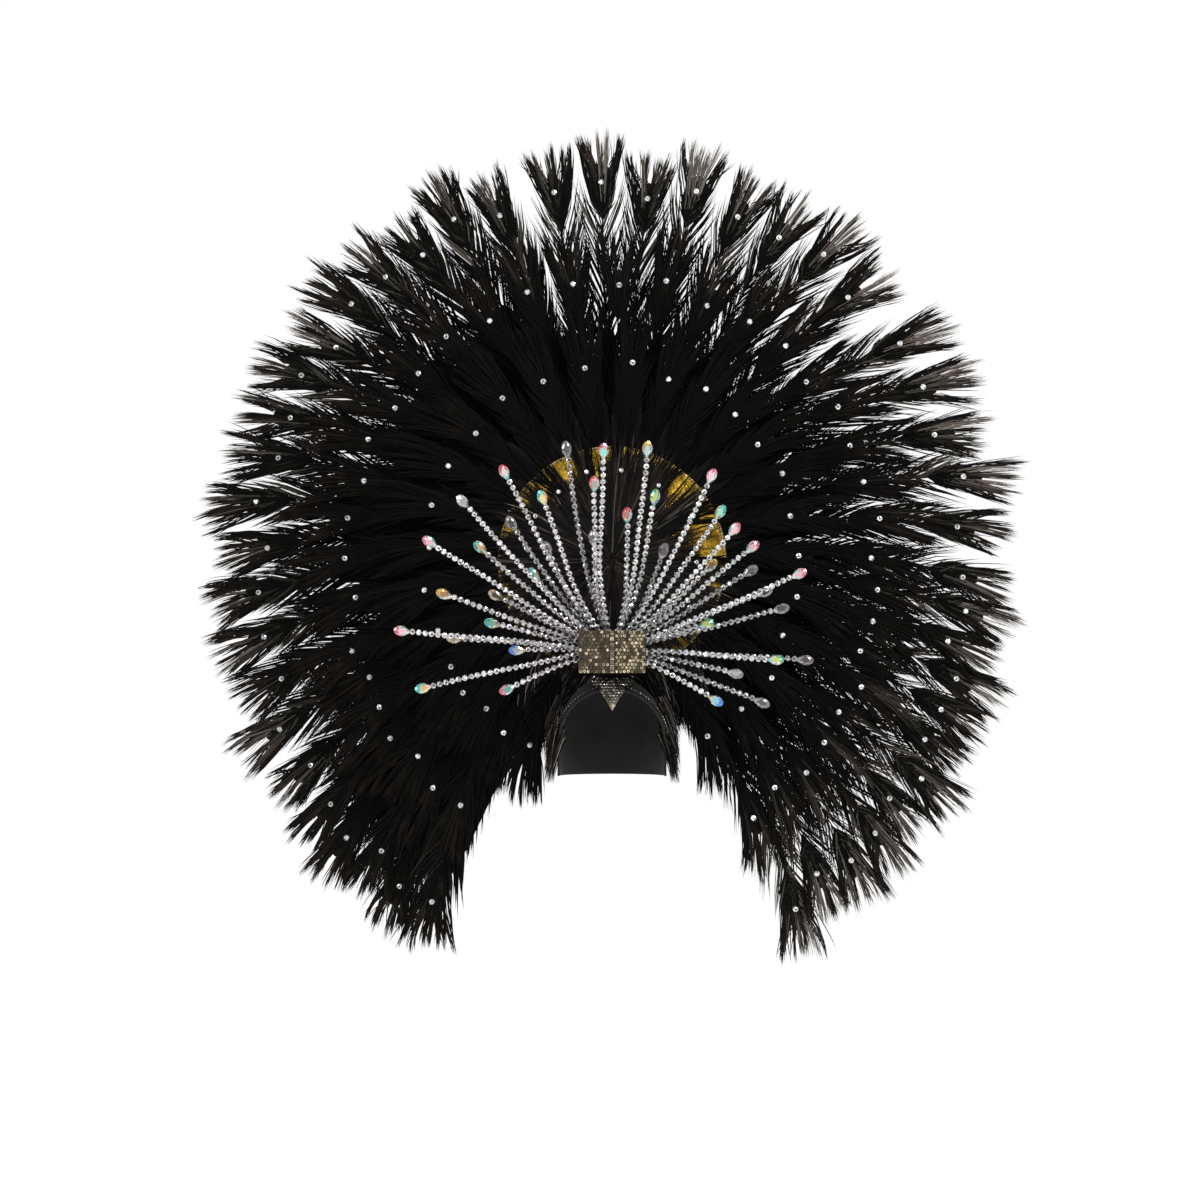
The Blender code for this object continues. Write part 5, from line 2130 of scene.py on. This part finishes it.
@dataclass
class SideTufts(Maker):
    """Short loose barbs that hang beside the cap.

    Attributes:
        strands: How many each tuft has.
        wall: How far out the cap's wall is.
    """

    strands: int = 420
    wall: float = 0.0775

    def build(self) -> None:
        """Build both tufts."""
        tufts = ((-1.0, "side_tuft_left", Seed.TUFT_LEFT), (1.0, "side_tuft_right", Seed.TUFT_RIGHT))
        for side, name, seed in tufts:
            low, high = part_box(name)
            inner, outer = sorted((abs(low.x), abs(high.x)))
            rng = np.random.default_rng(seed)
            count, mould = self.strands, self.moulds.barb
            depth = rng.uniform(low.y + 0.004, high.y - 0.004, count)
            top = rng.uniform(high.z - 0.062, high.z, count)
            length = np.minimum(rng.uniform(0.045, 0.085, count), top - low.z)
            start = rows(side * rng.uniform(inner, self.wall, count), depth, top)
            end = start.copy()
            end[:, 0] = side * (self.wall + (outer - self.wall) * rng.uniform(0.25, 1.0, count))
            end[:, 1] += rng.normal(0.0, 0.004, count)
            end[:, 2] -= length
            bend = (start + end) / 2.0
            bend[:, 0] += side * rng.uniform(0.0, 0.006, count)
            lines = curve(start, bend, end, mould.levels)
            width = rng.uniform(0.0008, 0.0014, count)
            heap = Heap.of_strands()
            traits = rows(0.3, rng.beta(1.2, 4.5, count), 0.0)
            heap.add(mould, mould.strands(lines, width, width * 0.5), traits)
            self.wardrobe.dress(heap.make(), f"{name}_barbs", Slot.FEATHER, name)


@dataclass
class Boards(Maker):
    """The boards, plates and bracket, which stay as they are packed, and the gold board's rim of tiny stones."""

    fan: Fan = field(default_factory=Fan)
    rim_radius: float = 0.1585
    rim_stone: float = 0.0019

    def finish(self) -> None:
        """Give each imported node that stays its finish."""
        wardrobe = self.wardrobe
        finishes = {
            "gold_disc": wardrobe.finishes[Slot.FOIL],
            "back_board": wardrobe.finishes[Slot.FELT],
            "spray_base": wardrobe.finishes[Slot.FELT],
            "board_bracket": wardrobe.steel,
            "brow_crest": wardrobe.crest_plate,
            "pave_panel_left": wardrobe.panel_plate,
            "pave_panel_right": wardrobe.panel_plate,
            "centre_ridge": wardrobe.panel_plate,
        }
        for name, material in finishes.items():
            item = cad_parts[name]
            item.data.materials.clear()
            item.data.materials.append(material)
            LOG.info("%s: finished", name)

    def rim(self) -> None:
        """The row of tiny stones round the gold board."""
        low, _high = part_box("gold_disc")
        count = int(2.0 * math.pi * self.rim_radius / (2.15 * self.rim_stone))
        turn = np.arange(count) * 2.0 * math.pi / count
        middles = rows(
            np.cos(turn) * self.rim_radius, low.y - 0.0003, np.sin(turn) * self.rim_radius + self.fan.height
        )
        rng = np.random.default_rng(Seed.RIM)
        mould = self.moulds.tiny
        places = mould.stones(middles, FRONT, UP, self.rim_stone)
        # Painted sparkle: each stone gets its own brightness of painted light.
        painted_light = rng.uniform(0.15, 1.0, count)
        self.stud("disc_edge_stones", Slot.CHAMPAGNE, mould, places, Glass.RIM.value, painted_light, rng)

    def build(self) -> None:
        """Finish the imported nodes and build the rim."""
        self.finish()
        self.rim()


# Studio


@dataclass
class Studio:
    """Camera, lights and floor.

    Attributes:
        middle: The point in the middle of the picture.
        view_width: How much of the object's plane the picture takes in.
        distance: How far away the camera stands.
        sensor: The width of the camera's sensor, in millimetres.
        floor: The floor's height.
        lights: Each lamp's name, place, width and power in watts.
    """

    middle: Colour = (-0.0168, 0.0, 0.1092)
    view_width: float = 1.68
    distance: float = 8.0
    sensor: float = 36.0
    floor: float = -1.75
    lights: tuple[tuple[str, Colour, float, float], ...] = (
        ("key", (2.2, -3.2, 2.6), 1.2, 110.0), ("fill", (-2.6, -3.0, 1.2), 1.6, 50.0),
        ("spark", (0.4, -3.6, 1.0), 0.3, 30.0),
    )

    def camera(self) -> None:
        """The camera, level with the middle of the picture."""
        data = bpy.data.cameras.new("camera")
        data.sensor_width = self.sensor
        data.lens = self.sensor * self.distance / self.view_width
        data.clip_end = 60.0
        item = bpy.data.objects.new("camera", data)
        item.location = (self.middle[0], -self.distance, self.middle[2])
        item.rotation_euler = (math.pi / 2.0, 0.0, 0.0)
        bpy.context.scene.collection.objects.link(item)
        bpy.context.scene.camera = item

    def light(self, name: str, place: Colour, size: float, power: float) -> None:
        """One soft lamp that faces the fan.

        Args:
            name: Its name.
            place: Where it is.
            size: Its width.
            power: Its power in watts.
        """
        data = bpy.data.lights.new(name, "AREA")
        data.energy = power
        data.size = size
        item = bpy.data.objects.new(name, data)
        item.location = place
        aim = Vector((0.0, 0.0, 0.15)) - Vector(place)
        item.rotation_euler = aim.to_track_quat("-Z", "Y").to_euler()
        bpy.context.scene.collection.objects.link(item)

    def surroundings(self) -> None:
        """A white room."""
        world = bpy.data.worlds.new("room")
        world.use_nodes = True
        background = world.node_tree.nodes["Background"]
        background.inputs["Color"].default_value = (1.0, 1.0, 1.0, 1.0)
        background.inputs["Strength"].default_value = 1.0
        bpy.context.scene.world = world
        bpy.context.scene.view_settings.view_transform = "Standard"

    def ground(self) -> None:
        """A plain pale floor with a rounded rim."""
        item = new_primitive("circle", vertices=96, radius=4.0, fill_type="NGON", location=(0.0, 0.0, self.floor))
        settle(item)
        with editing(item):
            bpy.ops.mesh.inset(thickness=0.4)
        item.name = "floor"
        paint = Paint("floor")
        tone = paint.mix(paint.noise(0.4), (0.82, 0.82, 0.81), (0.86, 0.86, 0.85))
        paint.surface(Base_Color=tone, Roughness=0.7)
        item.data.materials.append(paint.material)

    def build(self) -> None:
        """Set up the studio."""
        self.surroundings()
        self.camera()
        self.ground()
        for row in self.lights:
            self.light(*row)


def main() -> None:
    """Build the studio and every sub-assembly, in order."""
    logging.basicConfig(level=logging.INFO, format="%(name)s %(message)s")
    wardrobe = Wardrobe()
    moulds = Moulds()
    Studio().build()
    for maker in (Boards, FeatherFan, CrestFeathers, Cap, SideTufts, Spray):
        LOG.info("%s", maker.__name__)
        maker(moulds, wardrobe).build()


if __name__ == "__main__":
    main()
